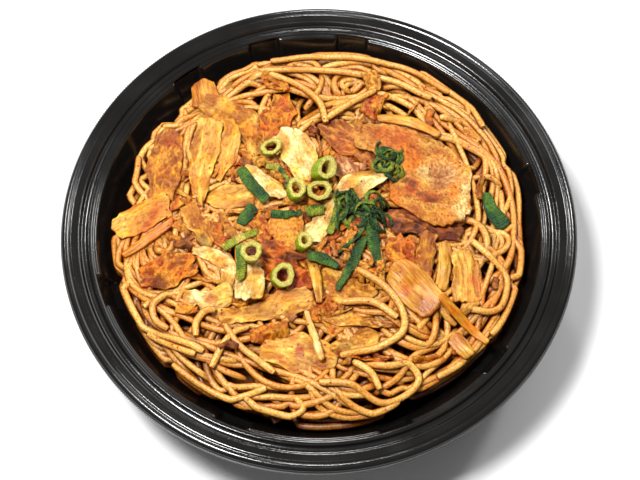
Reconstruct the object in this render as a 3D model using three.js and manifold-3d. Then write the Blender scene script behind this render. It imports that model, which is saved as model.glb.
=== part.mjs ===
// Fried noodles with kimchi cabbage, pork and spring onion, heaped in a round black takeaway tray.
// Millimetres, +Z up. The origin is the middle of the tray's foot, and -Y faces the viewer.
import * as THREE from "three";
import { mergeVertices } from "three/addons/utils/BufferGeometryUtils.js";
import Module from "manifold-3d";

const wasm = await Module();
wasm.setup();

// Driving dimensions
const TRAY_RADIUS = 102.5;
const TRAY_HEIGHT = 42;
const SHEET = 1.1;
const WALL_TOP = 88.4;
const WALL_TOP_DROP = 1.8;
const WALL_FOOT = 68.5;
const WALL_FOOT_HEIGHT = 3.2;
const TRAY_SIDES = 40;

const NOODLE = 3.0;
const NOODLE_SIDES = 5;
const NOODLE_STEP = 5.5;
const SUNK = 0.6;
const STRAND_SAG = 0.2;
const STRAND_CLEAR = 0.5;
const SHORTEST_STRAND = 12;

// Strands between those told apart: how many, where their ring begins and how wide it is, how far they
// sweep round it, and how much they swerve and shake
const FILLERS = 25;
const FILLER_INNER = 50;
const FILLER_BAND = 29;
const FILLER_SWEEP = 0.35;
const FILLER_SWERVE = 8;
const FILLER_SHAKE = 3;
const FILLER_SHARES = [0, 0.33, 0.66, 1];
const FILLER_SEED = 7;
const DRAW_FACTOR = 16807;
const DRAW_RANGE = 2147483647;

const DOME_REACH = 84;
const DOME_EDGE = 36;
const DOME_RISE = 11;
const DOME_POWER = 0.9;
const DOME_RINGS = [0.2, 0.38, 0.55, 0.7, 0.83, 0.94];
const HEAP_SECTORS = 48;
const SHOULDER = 1.5;

// Clear height between pieces, and the height map that they are laid on
const GAP = 0.35;
const FOOT_REACH = 1;
const MERGE_NEAR = 1e-4;
const MAP_REACH = 96;
const MAP_CELL = 1;
const SPOT_STEP = 0.6;

// Grid of a slice: the size of its cells, how round its ends are and how far it keeps from the wall
const SLICE_ROW = 6;
const SLICE_COLUMN = 4.5;
const MOST_ROWS = 9;
const END_ROUND = 0.35;
const WALL_CLEAR = 1.5;
const WALL_CLEAR_DROP = 4;
const DRAPE_PASSES = 3;
const CELL_SAMPLES = 6;
const TURN_BETWEEN_SLICES = 1.7;
const WAVE_SKEW = 1.4;

const SKIN = {
  plastic: { color: 0x15130f, roughness: 0.32, metalness: 0 },
  noodle: { color: 0xd9a24a, roughness: 0.42, metalness: 0 },
  leaf: { color: 0xe0ad52, roughness: 0.38, metalness: 0 },
  kimchi: { color: 0xcf7a33, roughness: 0.4, metalness: 0 },
  meat: { color: 0xa5693d, roughness: 0.5, metalness: 0 },
  pork: { color: 0xd99658, roughness: 0.45, metalness: 0 },
  stem: { color: 0xe9c473, roughness: 0.35, metalness: 0 },
  rib: { color: 0xe6ae4c, roughness: 0.35, metalness: 0 },
  strip: { color: 0xe39a3c, roughness: 0.38, metalness: 0 },
  green: { color: 0x2c6238, roughness: 0.4, metalness: 0 },
  onion: { color: 0xa8bf4c, roughness: 0.35, metalness: 0 },
};

// How each kind of slice is made: its thickness at the middle and at the edge, the height of its waves,
// how many waves run along it, and how far its long edges curl up.
const CUT = {
  leaf: { thick: 1.2, edge: 0.7, wave: 0.9, waves: 1.5, curl: 0.3 },
  kimchi: { thick: 1.8, edge: 1.0, wave: 1.0, waves: 2.5, curl: 0.3 },
  meat: { thick: 2.2, edge: 1.3, wave: 0.6, waves: 2, curl: 0 },
  pork: { thick: 2.6, edge: 1.5, wave: 1.2, waves: 1.2, curl: 0 },
  stem: { thick: 4.2, edge: 1.6, wave: 0.2, waves: 1, curl: 0 },
  rib: { thick: 2.8, edge: 1.3, wave: 0.2, waves: 1, curl: 0 },
  strip: { thick: 2.0, edge: 1.2, wave: 0.3, waves: 1, curl: 0 },
  green: { thick: 1.2, edge: 0.8, wave: 0.7, waves: 1.5, curl: 0.3 },
};

// Slices from the lowest to the highest: name, kind, points of the middle line seen from above,
// half widths along that line.
const SLICES = [
  ["cabbage_stub_far", "stem", [[-48, 65], [-46, 56]], [5, 6]],
  ["leaf_bed_far", "leaf", [[-46, 53], [-32, 47], [-23, 31]], [5, 7, 5]],
  ["leaf_bed_near", "leaf", [[0, -24], [9, -30], [20, -33]], [5, 6.5, 4]],
  ["kimchi_far", "kimchi", [[-14, 56], [-17, 44], [-20, 34]], [5, 7, 5]],
  ["meat_left", "meat", [[-61, 41], [-62, 26], [-63, 11]], [5, 7.5, 6]],
  ["leaf_left_rim", "leaf", [[-60, 7], [-69, 4], [-80, -1]], [4.5, 6.5, 5.5]],
  ["rib_left", "rib", [[-58, 0], [-67, -6], [-77, -13]], [1.5, 2, 1.5]],
  ["kimchi_left", "kimchi", [[-69, -22], [-60, -21], [-50, -18]], [5, 8, 6]],
  ["leaf_brown_left", "leaf", [[-52, 7], [-47, -2], [-43, -10]], [3.5, 5, 3]],
  ["leaf_vein_left", "leaf", [[-43, 9], [-36, 10], [-27, 11]], [3.5, 5.5, 4.5]],
  ["leaf_pointed", "leaf", [[-44, 45], [-46, 31], [-47, 19], [-46, 6]], [5.5, 6.5, 4.5, 1]],
  ["leaf_pointed_small", "leaf", [[-35, 42], [-36, 30], [-40, 17]], [3.5, 4.5, 1]],
  ["meat_far", "meat", [[3, 42], [13, 35], [22, 29]], [5.5, 7.5, 5]],
  ["stem_far", "rib", [[1, 52], [6, 53], [12, 55]], [1.5, 2, 1.5]],
  ["pork_far", "pork", [[-14, 37], [-8, 29], [-5, 18]], [5, 7.5, 5]],
  ["pork_fat_left", "pork", [[-28, 21], [-22, 16], [-14, 10]], [3.5, 5, 3]],
  ["meat_middle", "meat", [[8, 25], [11, 20], [13, 14]], [3.5, 4.5, 3]],
  ["meat_under_pork", "meat", [[27, 1], [41, -3], [56, -6]], [4.5, 5, 3]],
  ["pork_large", "pork", [[18, 38], [36, 30], [46, 14], [53, 1]], [6, 10, 18.5, 9]],
  ["rib_far_right", "rib", [[24, 47], [37, 45], [48, 38]], [1.5, 2.5, 2]],
  ["pork_diagonal", "pork", [[-4, -9], [5, 2], [15, 13], [25, 19]], [4.5, 4.5, 5.5, 3.5]],
  ["pork_crumbly", "pork", [[-14, -2], [-12, -10], [-11, -16]], [7, 5.5, 2]],
  ["meat_shreds", "meat", [[-28, -13], [-18, -16], [-8, -19]], [3.5, 4.5, 3.5]],
  ["kimchi_red", "kimchi", [[-20, -22], [-12, -27], [-5, -30]], [3.5, 5.5, 4]],
  ["leaf_cream_bent", "leaf", [[-49, -13], [-41, -15], [-35, -20], [-36, -29]], [2, 3, 3.5, 2]],
  ["leaf_cream_low", "leaf", [[-53, -30], [-44, -33], [-35, -33]], [1.5, 4, 5]],
  ["leaf_wide_near", "leaf", [[-38, -42], [-26, -40], [-15, -37], [-4, -35]], [3, 3.5, 5, 4.5]],
  ["stem_cream", "stem", [[-27, -21], [-27, -28], [-27, -35]], [5, 6, 6]],
  ["leaf_wedge", "strip", [[-3, -19], [-1, -28], [0, -37]], [2, 2, 1]],
  ["leaf_stained_near", "leaf", [[-21, -54], [-8, -56], [6, -58]], [4, 8.5, 4]],
  ["leaf_brown_near", "leaf", [[6, -55], [13, -52], [21, -49]], [3.5, 4.5, 4.5]],
  ["leaf_twisted_near", "leaf", [[1, -42], [12, -43], [27, -45]], [1.5, 3, 1]],
  ["strip_near", "strip", [[-5, -41], [-2, -50], [1, -59]], [1, 1.5, 1.5]],
  ["kimchi_right", "kimchi", [[32, -9], [32, -15], [32, -21]], [5.5, 6.5, 5.5]],
  ["leaf_fine_right", "leaf", [[43, -7], [42, -14], [41, -22]], [3.5, 4.5, 3.5]],
  ["stem_strip_right", "rib", [[49, -11], [49, -20], [47, -29]], [2.5, 2.5, 2.5]],
  ["leaf_square_right", "leaf", [[56, -14], [57, -23], [57, -33]], [5, 6, 5.5]],
  ["stem_round_right", "stem", [[30, -23], [37, -30], [44, -37]], [5.5, 7.5, 6]],
  ["strip_orange_near", "strip", [[47, -35], [53, -40], [60, -46], [65, -50]], [2, 2, 1.5, 1]],
  ["stem_pink_near", "stem", [[52, -48], [55, -52], [58, -55]], [3, 3.5, 2.5]],
  ["green_light_middle", "green", [[9, 6], [7, -1], [4, -8]], [2, 2, 1.5]],
  ["green_tuft_middle", "green", [[7, -1], [16, 3], [25, 1]], [3, 4.5, 2.5]],
  ["green_curl_far", "green", [[26, 30], [27, 23], [26, 16]], [4, 4.5, 3.5]],
  ["green_blade_middle", "green", [[20, -2], [21, -11], [23, -19]], [2.5, 2.5, 1.5]],
  ["green_blade_long", "green", [[17, -10], [13, -20], [7, -31]], [2, 2, 1]],
  ["green_blade_short", "green", [[-4, -18], [1, -19], [7, -22]], [2.5, 2.5, 1.5]],
  ["green_blade_left", "green", [[-31, 20], [-27, 14], [-21, 7]], [2, 2.5, 2]],
  ["green_patch_left", "green", [[-26, 5], [-28, 2], [-31, -2]], [2.5, 2.5, 2]],
  ["green_blade_right", "green", [[67, 14], [69, 7], [73, 0]], [2, 3, 3.5]],
  ["onion_stick", "green", [[-37, -13], [-32, -9], [-24, -5]], [1.5, 1.5, 1.5]],
  ["onion_strip", "green", [[-30, -15], [-30, -22], [-30, -29]], [2, 2, 1.5]],
];

// Cut rings of spring onion: name, middle, radius, height, squash across, turn and tilt in degrees.
const RINGS = [
  ["onion_ring_far", [-19, 29], 4.5, 3, 0.7, 20, 12],
  ["onion_roll", [2, 19], 4.8, 7, 0.85, 60, 30],
  ["onion_ring_middle", [0, 9], 4.8, 4, 0.85, 10, 25],
  ["onion_half", [-9, 8], 4.6, 4, 0.8, 100, 15],
  ["onion_ring_low", [-6, -14], 3.8, 4, 0.75, 90, 20],
  ["onion_ring_tall", [-26, -20], 4.4, 5, 0.85, 15, 18],
  ["onion_ring_dark", [-14, -28], 4.8, 4, 0.9, 40, 22],
];
const RING_SIDES = 12;
const RING_WALL = 2.2;

// Noodles that can be told apart, seen from above.
const NOODLE_ROUTES = [
  [[-22, 68], [-8, 60], [0, 52], [3, 42]],
  [[3, 44], [13, 51], [23, 58]],
  [[-57, 46], [-47, 56], [-35, 63], [-22, 67]],
  [[-20, 75], [5, 77], [34, 72], [54, 62]],
  [[-24, 68], [0, 69], [25, 65], [46, 56]],
  [[42, 71], [52, 66], [62, 55], [67, 44]],
  [[39, 61], [52, 64], [61, 56], [59, 47], [49, 46]],
  [[15, -23], [26, -31], [32, -40], [32, -48], [23, -54], [8, -58]],
  [[9, -36], [20, -36], [30, -43]],
  [[5, -58], [26, -62], [34, -60], [38, -65], [35, -70], [24, -75], [12, -69], [0, -68]],
  [[5, -60], [6, -69], [13, -76], [24, -79], [31, -76]],
  [[13, -60], [20, -65], [23, -71]],
  [[58, -5], [66, -5], [72, -3], [78, 1]],
  [[77, -6], [82, -15], [80, -20], [74, -23]],
  [[60, -9], [66, -15], [73, -23], [73, -29], [70, -36], [65, -38], [57, -37]],
  [[75, -25], [77, -28], [76, -34], [72, -41], [67, -47]],
  [[47, -67], [53, -61], [58, -57]],
  [[-74, -24], [-78, -30], [-73, -40], [-65, -45], [-49, -53], [-44, -56]],
  [[-68, -36], [-61, -30], [-52, -29]],
  [[-58, -46], [-63, -42], [-64, -36], [-59, -32]],
  [[-47, -50], [-47, -44], [-43, -39], [-40, -39]],
  [[-41, -62], [-37, -54], [-32, -48], [-27, -46]],
  [[-36, -46], [-30, -54], [-17, -64]],
  [[-66, -46], [-60, -50], [-47, -57]],
  [[-57, -60], [-44, -68], [-36, -73], [-28, -72], [-20, -70]],
  [[-28, -73], [-20, -79], [-12, -80], [-6, -77], [-9, -73]],
  [[-74, 32], [-74, 20], [-68, 12]],
];

// Radius of the heap's edge at equal steps round the tray, anticlockwise from +X.
const EDGE_RADII = [
  80.5, 83, 83.5, 83.5, 83.5, 83.5, 83, 81, 82.5, 80, 82, 77.5, 82.5, 82, 81.5, 82, 81.5, 81, 82, 82, 79, 80,
  82.5, 82,
];

// Stacking pockets pressed outward into the top of the tray's wall
const POCKET_ANGLES = [14, 81, 105, 128, 198, 248, 289, 320];
const POCKET_WIDTH = 12.5;
const POCKET_DEPTH = 1.9;
const POCKET_TOP = 1.7;
const POCKET_BOTTOM = 11.5;

const DEGREES = Math.PI / 180;

function clamp(value, low, high) {
  return Math.min(Math.max(value, low), high);
}

// A closed three.js geometry as a manifold solid, turned face out if need be.
function solidOf(geometry) {
  const bare = geometry.index ? geometry.toNonIndexed() : geometry.clone();
  bare.deleteAttribute("normal");
  bare.deleteAttribute("uv");
  const merged = mergeVertices(bare, MERGE_NEAR);
  const corners = [];
  for (let i = 0; i < merged.index.count; i += 3) {
    const [a, b, c] = merged.index.array.slice(i, i + 3);
    if (a !== b && b !== c && c !== a) corners.push(a, b, c);
  }
  const build = (list) =>
    new wasm.Manifold(
      new wasm.Mesh({
        numProp: 3,
        vertProperties: merged.attributes.position.array,
        triVerts: new Uint32Array(list),
      }),
    );
  const solid = build(corners);
  return solid.volume() > 0 ? solid : build(corners.reverse());
}

function geometryOf(solid) {
  const mesh = solid.getMesh();
  const geometry = new THREE.BufferGeometry();
  const places = new Float32Array(mesh.numVert * 3);
  for (let i = 0; i < mesh.numVert; i++) {
    places.set(mesh.vertProperties.subarray(i * mesh.numProp, i * mesh.numProp + 3), i * 3);
  }
  geometry.setAttribute("position", new THREE.BufferAttribute(places, 3));
  geometry.setIndex(new THREE.BufferAttribute(mesh.triVerts, 1));
  return geometry;
}

// The largest body of a solid, without loose scraps and sealed hollows.
function mainBody(solid) {
  return solid.decompose().reduce((best, body) => (body.volume() > best.volume() ? body : best));
}

function named(name, solid, skin) {
  const geometry = geometryOf(solid);
  geometry.computeVertexNormals();
  const mesh = new THREE.Mesh(geometry, new THREE.MeshStandardMaterial(SKIN[skin]));
  mesh.name = name;
  return mesh;
}

// Height map: the highest surface laid so far over each cell of the plan.
class HeightMap {
  constructor() {
    this.side = Math.round((2 * MAP_REACH) / MAP_CELL) + 1;
    this.cells = new Float32Array(this.side ** 2).fill(WALL_FOOT_HEIGHT);
  }

  place(value) {
    return clamp(Math.round((value + MAP_REACH) / MAP_CELL), 0, this.side - 1);
  }

  at(x, y) {
    return this.cells[this.place(y) * this.side + this.place(x)];
  }

  around(x, y, reach) {
    let top = -Infinity;
    for (let dx = -reach; dx <= reach; dx += MAP_CELL) {
      for (let dy = -reach; dy <= reach; dy += MAP_CELL) {
        if (Math.hypot(dx, dy) <= reach + MERGE_NEAR) top = Math.max(top, this.at(x + dx, y + dy));
      }
    }
    return top;
  }

  raise(x, y, z) {
    const cell = this.place(y) * this.side + this.place(x);
    this.cells[cell] = Math.max(this.cells[cell], z);
  }

  add(geometry) {
    forEachSpot(geometry, (x, y, z) => this.raise(x, y, z));
  }
}

// Calls visit with the spots of each triangle, spaced closer than the map's cells.
function forEachSpot(geometry, visit) {
  const flat = geometry.index ? geometry.toNonIndexed() : geometry;
  const place = flat.attributes.position;
  const corner = [new THREE.Vector3(), new THREE.Vector3(), new THREE.Vector3()];
  for (let i = 0; i < place.count; i += 3) {
    corner.forEach((point, k) => point.fromBufferAttribute(place, i + k));
    const longest = Math.max(
      corner[0].distanceTo(corner[1]),
      corner[1].distanceTo(corner[2]),
      corner[2].distanceTo(corner[0]),
    );
    const steps = Math.max(1, Math.ceil(longest / (SPOT_STEP * MAP_CELL)));
    for (let a = 0; a <= steps; a++) {
      for (let b = 0; a + b <= steps; b++) {
        const u = a / steps;
        const v = b / steps;
        const w = 1 - u - v;
        visit(
          w * corner[0].x + u * corner[1].x + v * corner[2].x,
          w * corner[0].y + u * corner[1].y + v * corner[2].y,
          w * corner[0].z + u * corner[1].z + v * corner[2].z,
        );
      }
    }
  }
}

// Tray: one moulded sheet with a bead and a lid groove round its rim

function wallRadius(z) {
  const top = TRAY_HEIGHT - WALL_TOP_DROP;
  const share = (z - WALL_FOOT_HEIGHT) / (top - WALL_FOOT_HEIGHT);
  return WALL_FOOT + (WALL_TOP - WALL_FOOT) * share;
}

// Section of the tray, from the middle of its underside outward and back over the top.
function traySection() {
  const rim = (radius, drop) => [radius, TRAY_HEIGHT - drop];
  const underside = [
    [0, 1.4],
    [55, 1.4],
    [57.6, 0],
    [65.5, 0],
    [67.8, 0.5],
    [WALL_FOOT + SHEET, 2.6],
    rim(WALL_TOP + SHEET, WALL_TOP_DROP + SHEET),
    rim(91.3, 3.3),
    rim(95.2, 3.3),
    rim(96.0, 1.7),
    rim(TRAY_RADIUS - SHEET, 1.7),
    rim(TRAY_RADIUS - SHEET, 4.5),
  ];
  const upside = [
    rim(TRAY_RADIUS, 4.5),
    rim(TRAY_RADIUS, 1.0),
    rim(101.5, 0.4),
    rim(100.2, 0),
    rim(99.2, 0.45),
    rim(98.0, 0),
    rim(95.2, 0.5),
    rim(94.4, 2.2),
    rim(92.2, 2.2),
    rim(91.6, 0.8),
    rim(90.2, 1.0),
    rim(WALL_TOP, WALL_TOP_DROP),
    [WALL_FOOT, WALL_FOOT_HEIGHT],
    [66.6, 1.7],
    [57.0, 1.5],
    [54.0, 2.6],
    [0, 2.6],
  ];
  return [...underside, ...upside].map(([radius, z]) => new THREE.Vector2(radius, z));
}

// A block along the wall: its section is the wall's slope between two depths below the rim.
function wallBlock(angle, width, inward, outward, top, bottom) {
  const section = new THREE.Shape();
  const high = TRAY_HEIGHT - top;
  const low = TRAY_HEIGHT - bottom;
  section.moveTo(wallRadius(low) - inward, low);
  section.lineTo(wallRadius(low) + outward, low);
  section.lineTo(wallRadius(high) + outward, high);
  section.lineTo(wallRadius(high) - inward, high);
  section.closePath();
  const block = new THREE.ExtrudeGeometry(section, { depth: width, bevelEnabled: false, steps: 1 });
  block.translate(0, 0, -width / 2);
  block.rotateX(Math.PI / 2);
  block.rotateZ(angle * DEGREES);
  return solidOf(block);
}

function traySolid() {
  let tray = solidOf(new THREE.LatheGeometry(traySection(), TRAY_SIDES).rotateX(Math.PI / 2));
  for (const angle of POCKET_ANGLES) {
    const outside = POCKET_DEPTH + SHEET;
    const bulge = wallBlock(
      angle, POCKET_WIDTH + 2 * SHEET, -SHEET / 2, outside, POCKET_TOP + SHEET, POCKET_BOTTOM + SHEET,
    );
    const pocket = wallBlock(angle, POCKET_WIDTH, 2 * SHEET, POCKET_DEPTH, POCKET_TOP, POCKET_BOTTOM);
    tray = tray.add(bulge).subtract(pocket);
  }
  return mainBody(tray);
}

// Heap: a domed core that fills the tray, with the noodles that show fused on

function edgeRadius(angle) {
  const turn = ((angle / (2 * Math.PI)) * EDGE_RADII.length + EDGE_RADII.length) % EDGE_RADII.length;
  const from = Math.floor(turn) % EDGE_RADII.length;
  const share = turn - Math.floor(turn);
  const ease = (1 - Math.cos(share * Math.PI)) / 2;
  return EDGE_RADII[from] * (1 - ease) + EDGE_RADII[(from + 1) % EDGE_RADII.length] * ease;
}

function heapHeight(x, y) {
  const out = clamp(Math.hypot(x, y) / DOME_REACH, 0, 1);
  const lumps = 0.8 * Math.sin(x / 9 + 1) * Math.sin(y / 8 + 2) + 0.5 * Math.sin((x - y) / 6);
  return DOME_EDGE + DOME_RISE * (1 - out ** 2) ** DOME_POWER + lumps;
}

// A closed body from rings of points between a top and a bottom pole.
function ringedGeometry(top, rings, bottom) {
  const sides = rings[0].length;
  const places = [...top, ...rings.flat(2), ...bottom];
  const last = 1 + sides * rings.length;
  const index = [];
  const spot = (ring, side) => 1 + ring * sides + (side % sides);
  for (let side = 0; side < sides; side++) {
    index.push(0, spot(0, side), spot(0, side + 1));
    for (let ring = 0; ring + 1 < rings.length; ring++) {
      index.push(spot(ring, side), spot(ring + 1, side), spot(ring + 1, side + 1));
      index.push(spot(ring, side), spot(ring + 1, side + 1), spot(ring, side + 1));
    }
    index.push(last, spot(rings.length - 1, side + 1), spot(rings.length - 1, side));
  }
  const geometry = new THREE.BufferGeometry();
  geometry.setAttribute("position", new THREE.Float32BufferAttribute(places, 3));
  geometry.setIndex(index);
  return geometry;
}

function heapCore() {
  const ring = (radiusAt, heightAt) =>
    Array.from({ length: HEAP_SECTORS }, (_, k) => {
      const angle = (k / HEAP_SECTORS) * 2 * Math.PI;
      const radius = radiusAt(angle);
      const x = radius * Math.cos(angle);
      const y = radius * Math.sin(angle);
      return [x, y, heightAt(x, y, radius)];
    });
  const dome = DOME_RINGS.map((share) => ring((angle) => share * edgeRadius(angle), heapHeight));
  const rise = (WALL_TOP - WALL_FOOT) / (TRAY_HEIGHT - WALL_TOP_DROP - WALL_FOOT_HEIGHT);
  const contact = (radius) => WALL_FOOT_HEIGHT + (radius + 2 * GAP - WALL_FOOT) / rise;
  const rings = [
    ...dome,
    ring(edgeRadius, (x, y) => heapHeight(x, y) - SHOULDER),
    ring(edgeRadius, (x, y, radius) => contact(radius)),
    ring(() => WALL_FOOT - 2 * GAP, () => WALL_FOOT_HEIGHT),
  ];
  return ringedGeometry([0, 0, heapHeight(0, 0)], rings, [0, 0, WALL_FOOT_HEIGHT]);
}

// Slices: thin wavy solids draped over what lies below them

function alongList(values, share) {
  const spot = share * (values.length - 1);
  const from = Math.min(Math.floor(spot), values.length - 2);
  return values[from] + (values[from + 1] - values[from]) * (spot - from);
}

function planCurve(route) {
  const points = route.map(([x, y]) => new THREE.Vector3(x, y, 0));
  return new THREE.CatmullRomCurve3(points, false, "centripetal");
}

// Grid of plan points over a slice: rows along its middle line, with rounded ends.
function sliceGrid(route, halfWidths) {
  const curve = planCurve(route);
  const widest = Math.max(...halfWidths);
  const rows = clamp(Math.ceil(curve.getLength() / SLICE_ROW), 2, MOST_ROWS);
  const columns = 2 * clamp(Math.round(widest / SLICE_COLUMN), 1, 3);
  const room = wallRadius(TRAY_HEIGHT - WALL_CLEAR_DROP) - WALL_CLEAR;
  const grid = [];
  for (let i = 0; i <= rows; i++) {
    const share = i / rows;
    const middle = curve.getPointAt(share);
    const ahead = curve.getTangentAt(share);
    const half = alongList(halfWidths, share);
    const push = (i === rows ? 1 : 0) - (i === 0 ? 1 : 0);
    grid.push(
      Array.from({ length: columns + 1 }, (_, j) => {
        const across = (2 * j) / columns - 1;
        const out = push * END_ROUND * half * (1 - across ** 2);
        const x = middle.x - ahead.y * across * half + ahead.x * out;
        const y = middle.y + ahead.x * across * half + ahead.y * out;
        const pull = Math.min(1, room / Math.hypot(x, y));
        return { x: x * pull, y: y * pull, share, across, z: 0 };
      }),
    );
  }
  return grid;
}

// Lets the grid hang taut over the map, with waves that only rise.
function drape(grid, cut, phase, map) {
  const all = grid.flat();
  all.forEach((spot) => {
    spot.floor = map.around(spot.x, spot.y, FOOT_REACH);
    spot.z = spot.floor;
  });
  const near = (i, j) =>
    [[i - 1, j], [i + 1, j], [i, j - 1], [i, j + 1]]
      .filter(([a, b]) => grid[a] && grid[a][b])
      .map(([a, b]) => grid[a][b].z);
  for (let pass = 0; pass < DRAPE_PASSES; pass++) {
    grid.forEach((row, i) =>
      row.forEach((spot, j) => {
        const around = near(i, j);
        spot.z = Math.max(spot.floor, around.reduce((a, b) => a + b) / around.length);
      }),
    );
  }
  all.forEach((spot) => {
    const turn = 2 * Math.PI * cut.waves * spot.share + phase + WAVE_SKEW * spot.across;
    const wave = (1 + Math.sin(turn)) / 2;
    spot.z += GAP + cut.wave * wave + cut.curl * spot.across ** 2;
  });
  liftCells(grid, map);
}

// Raises the corners of each cell of the grid that dips into what lies below it.
function liftCells(grid, map) {
  for (let i = 0; i + 1 < grid.length; i++) {
    for (let j = 0; j + 1 < grid[0].length; j++) {
      const corners = [grid[i][j], grid[i + 1][j], grid[i][j + 1], grid[i + 1][j + 1]];
      let dip = 0;
      for (let a = 0; a <= CELL_SAMPLES; a++) {
        for (let b = 0; b <= CELL_SAMPLES; b++) {
          const [u, v] = [a / CELL_SAMPLES, b / CELL_SAMPLES];
          const shares = [(1 - u) * (1 - v), u * (1 - v), (1 - u) * v, u * v];
          const mean = (axis) => corners.reduce((sum, corner, k) => sum + shares[k] * corner[axis], 0);
          dip = Math.max(dip, map.at(mean("x"), mean("y")) + GAP - mean("z"));
        }
      }
      corners.forEach((corner) => {
        corner.z += dip;
      });
    }
  }
}

// The closed thin solid between the grid and its copy one thickness higher.
function slabGeometry(grid, cut) {
  const rows = grid.length;
  const columns = grid[0].length;
  const depth = (spot) => cut.edge + (cut.thick - cut.edge) * (1 - spot.across ** 2);
  const places = [];
  for (const lift of [0, 1]) {
    grid.flat().forEach((spot) => places.push(spot.x, spot.y, spot.z + lift * depth(spot)));
  }
  const low = (i, j) => i * columns + j;
  const high = (i, j) => rows * columns + low(i, j);
  const index = [];
  const quad = (a, b, c, d) => index.push(a, b, c, a, c, d);
  for (let i = 0; i + 1 < rows; i++) {
    for (let j = 0; j + 1 < columns; j++) {
      quad(high(i, j), high(i, j + 1), high(i + 1, j + 1), high(i + 1, j));
      index.push(low(i, j), low(i + 1, j + 1), low(i, j + 1));
      index.push(low(i, j), low(i + 1, j), low(i + 1, j + 1));
    }
    quad(low(i, 0), high(i, 0), high(i + 1, 0), low(i + 1, 0));
    quad(low(i + 1, columns - 1), high(i + 1, columns - 1), high(i, columns - 1), low(i, columns - 1));
  }
  for (let j = 0; j + 1 < columns; j++) {
    quad(low(0, j + 1), high(0, j + 1), high(0, j), low(0, j));
    quad(low(rows - 1, j), high(rows - 1, j), high(rows - 1, j + 1), low(rows - 1, j + 1));
  }
  const geometry = new THREE.BufferGeometry();
  geometry.setAttribute("position", new THREE.Float32BufferAttribute(places, 3));
  geometry.setIndex(index);
  return geometry;
}

// Lifts a geometry until all of it clears the map.
function settle(geometry, map) {
  let lift = -Infinity;
  forEachSpot(geometry, (x, y, z) => {
    lift = Math.max(lift, map.at(x, y) + GAP - z);
  });
  geometry.translate(0, 0, lift);
}

function sliceGeometry(kind, route, halfWidths, phase, map) {
  const grid = sliceGrid(route, halfWidths);
  drape(grid, CUT[kind], phase, map);
  return slabGeometry(grid, CUT[kind]);
}

function ringGeometry([x, y], radius, height, squash, turn, tilt, map) {
  const section = [
    [radius - RING_WALL, -height / 2],
    [radius, -height / 2],
    [radius, height / 2],
    [radius - RING_WALL, height / 2],
    [radius - RING_WALL, -height / 2],
  ].map(([r, z]) => new THREE.Vector2(r, z));
  const ring = new THREE.LatheGeometry(section, RING_SIDES).rotateX(Math.PI / 2);
  ring.scale(1, squash, 1);
  ring.rotateX(tilt * DEGREES);
  ring.rotateZ(turn * DEGREES);
  ring.translate(x, y, 0);
  settle(ring, map);
  return ring;
}

// Noodles: strands that lie on the core and on each other, clear of the slices

// True where a strand would touch a slice.
function slicesMap(geometries) {
  const taken = new HeightMap();
  geometries.forEach((geometry) => forEachSpot(geometry, (x, y) => taken.raise(x, y, TRAY_HEIGHT)));
  return (x, y) => taken.around(x, y, NOODLE / 2 + STRAND_CLEAR) >= TRAY_HEIGHT;
}

// The longest stretch of a route that stays clear of the slices.
function clearStretch(route, blocked) {
  const curve = planCurve(route);
  const steps = Math.ceil(curve.getLength());
  let best = [];
  let run = [];
  for (let i = 0; i <= steps; i++) {
    const spot = curve.getPointAt(i / steps);
    run = blocked(spot.x, spot.y) ? [] : [...run, spot];
    if (run.length > best.length) best = run;
  }
  return best;
}

function strandGeometry(stretch, map) {
  const radius = NOODLE / 2;
  const count = Math.max(2, Math.round(stretch.length / NOODLE_STEP));
  const points = Array.from({ length: count + 1 }, (_, i) =>
    stretch[Math.round((i / count) * (stretch.length - 1))].clone(),
  );
  points.forEach((point) => {
    point.z = map.around(point.x, point.y, FOOT_REACH) + radius - SUNK;
  });
  const level = points.map((point) => point.z);
  points.forEach((point, i) => {
    const before = level[Math.max(i - 1, 0)];
    const after = level[Math.min(i + 1, count)];
    point.z = Math.max(level[i], (before + after) / 2 - STRAND_SAG);
    const room = wallRadius(point.z - FOOT_REACH) - radius - GAP;
    const pull = Math.min(1, room / Math.hypot(point.x, point.y));
    point.x *= pull;
    point.y *= pull;
  });
  const section = new THREE.Shape();
  for (let k = 0; k < NOODLE_SIDES; k++) {
    const angle = (k / NOODLE_SIDES) * 2 * Math.PI;
    const corner = [radius * Math.cos(angle), radius * Math.sin(angle)];
    if (k === 0) section.moveTo(...corner);
    else section.lineTo(...corner);
  }
  section.closePath();
  return new THREE.ExtrudeGeometry(section, {
    steps: count,
    bevelEnabled: false,
    extrudePath: new THREE.CatmullRomCurve3(points, false, "centripetal"),
  });
}

// Strands between those told apart, laid round the ring that the slices leave free.
function fillerRoutes() {
  let state = FILLER_SEED;
  const draw = () => {
    state = (state * DRAW_FACTOR) % DRAW_RANGE;
    return state / DRAW_RANGE;
  };
  return Array.from({ length: FILLERS }, (_, k) => {
    const start = ((k + draw()) / FILLERS) * 2 * Math.PI;
    const reach = FILLER_INNER + FILLER_BAND * Math.sqrt(draw());
    const sweep = FILLER_SWEEP * (1 + draw()) * (draw() < 1 / 2 ? -1 : 1);
    const swerve = FILLER_SWERVE * (draw() - 1 / 2);
    return FILLER_SHARES.map((share) => {
      const angle = start + sweep * share;
      const radius = reach + swerve * Math.sin(share * Math.PI * 2) + FILLER_SHAKE * (draw() - 1 / 2);
      return [radius * Math.cos(angle), radius * Math.sin(angle)];
    });
  });
}

function heapSolid(core, routes, blocked, others) {
  const map = new HeightMap();
  map.add(core);
  let heap = solidOf(core);
  for (const route of routes) {
    const stretch = clearStretch(route, blocked);
    if (stretch.length < SHORTEST_STRAND) continue;
    const strand = strandGeometry(stretch, map);
    const body = solidOf(strand);
    if (body.intersect(others).volume() > 0) continue;
    heap = heap.add(body);
    map.add(strand);
  }
  return mainBody(heap);
}

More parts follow.
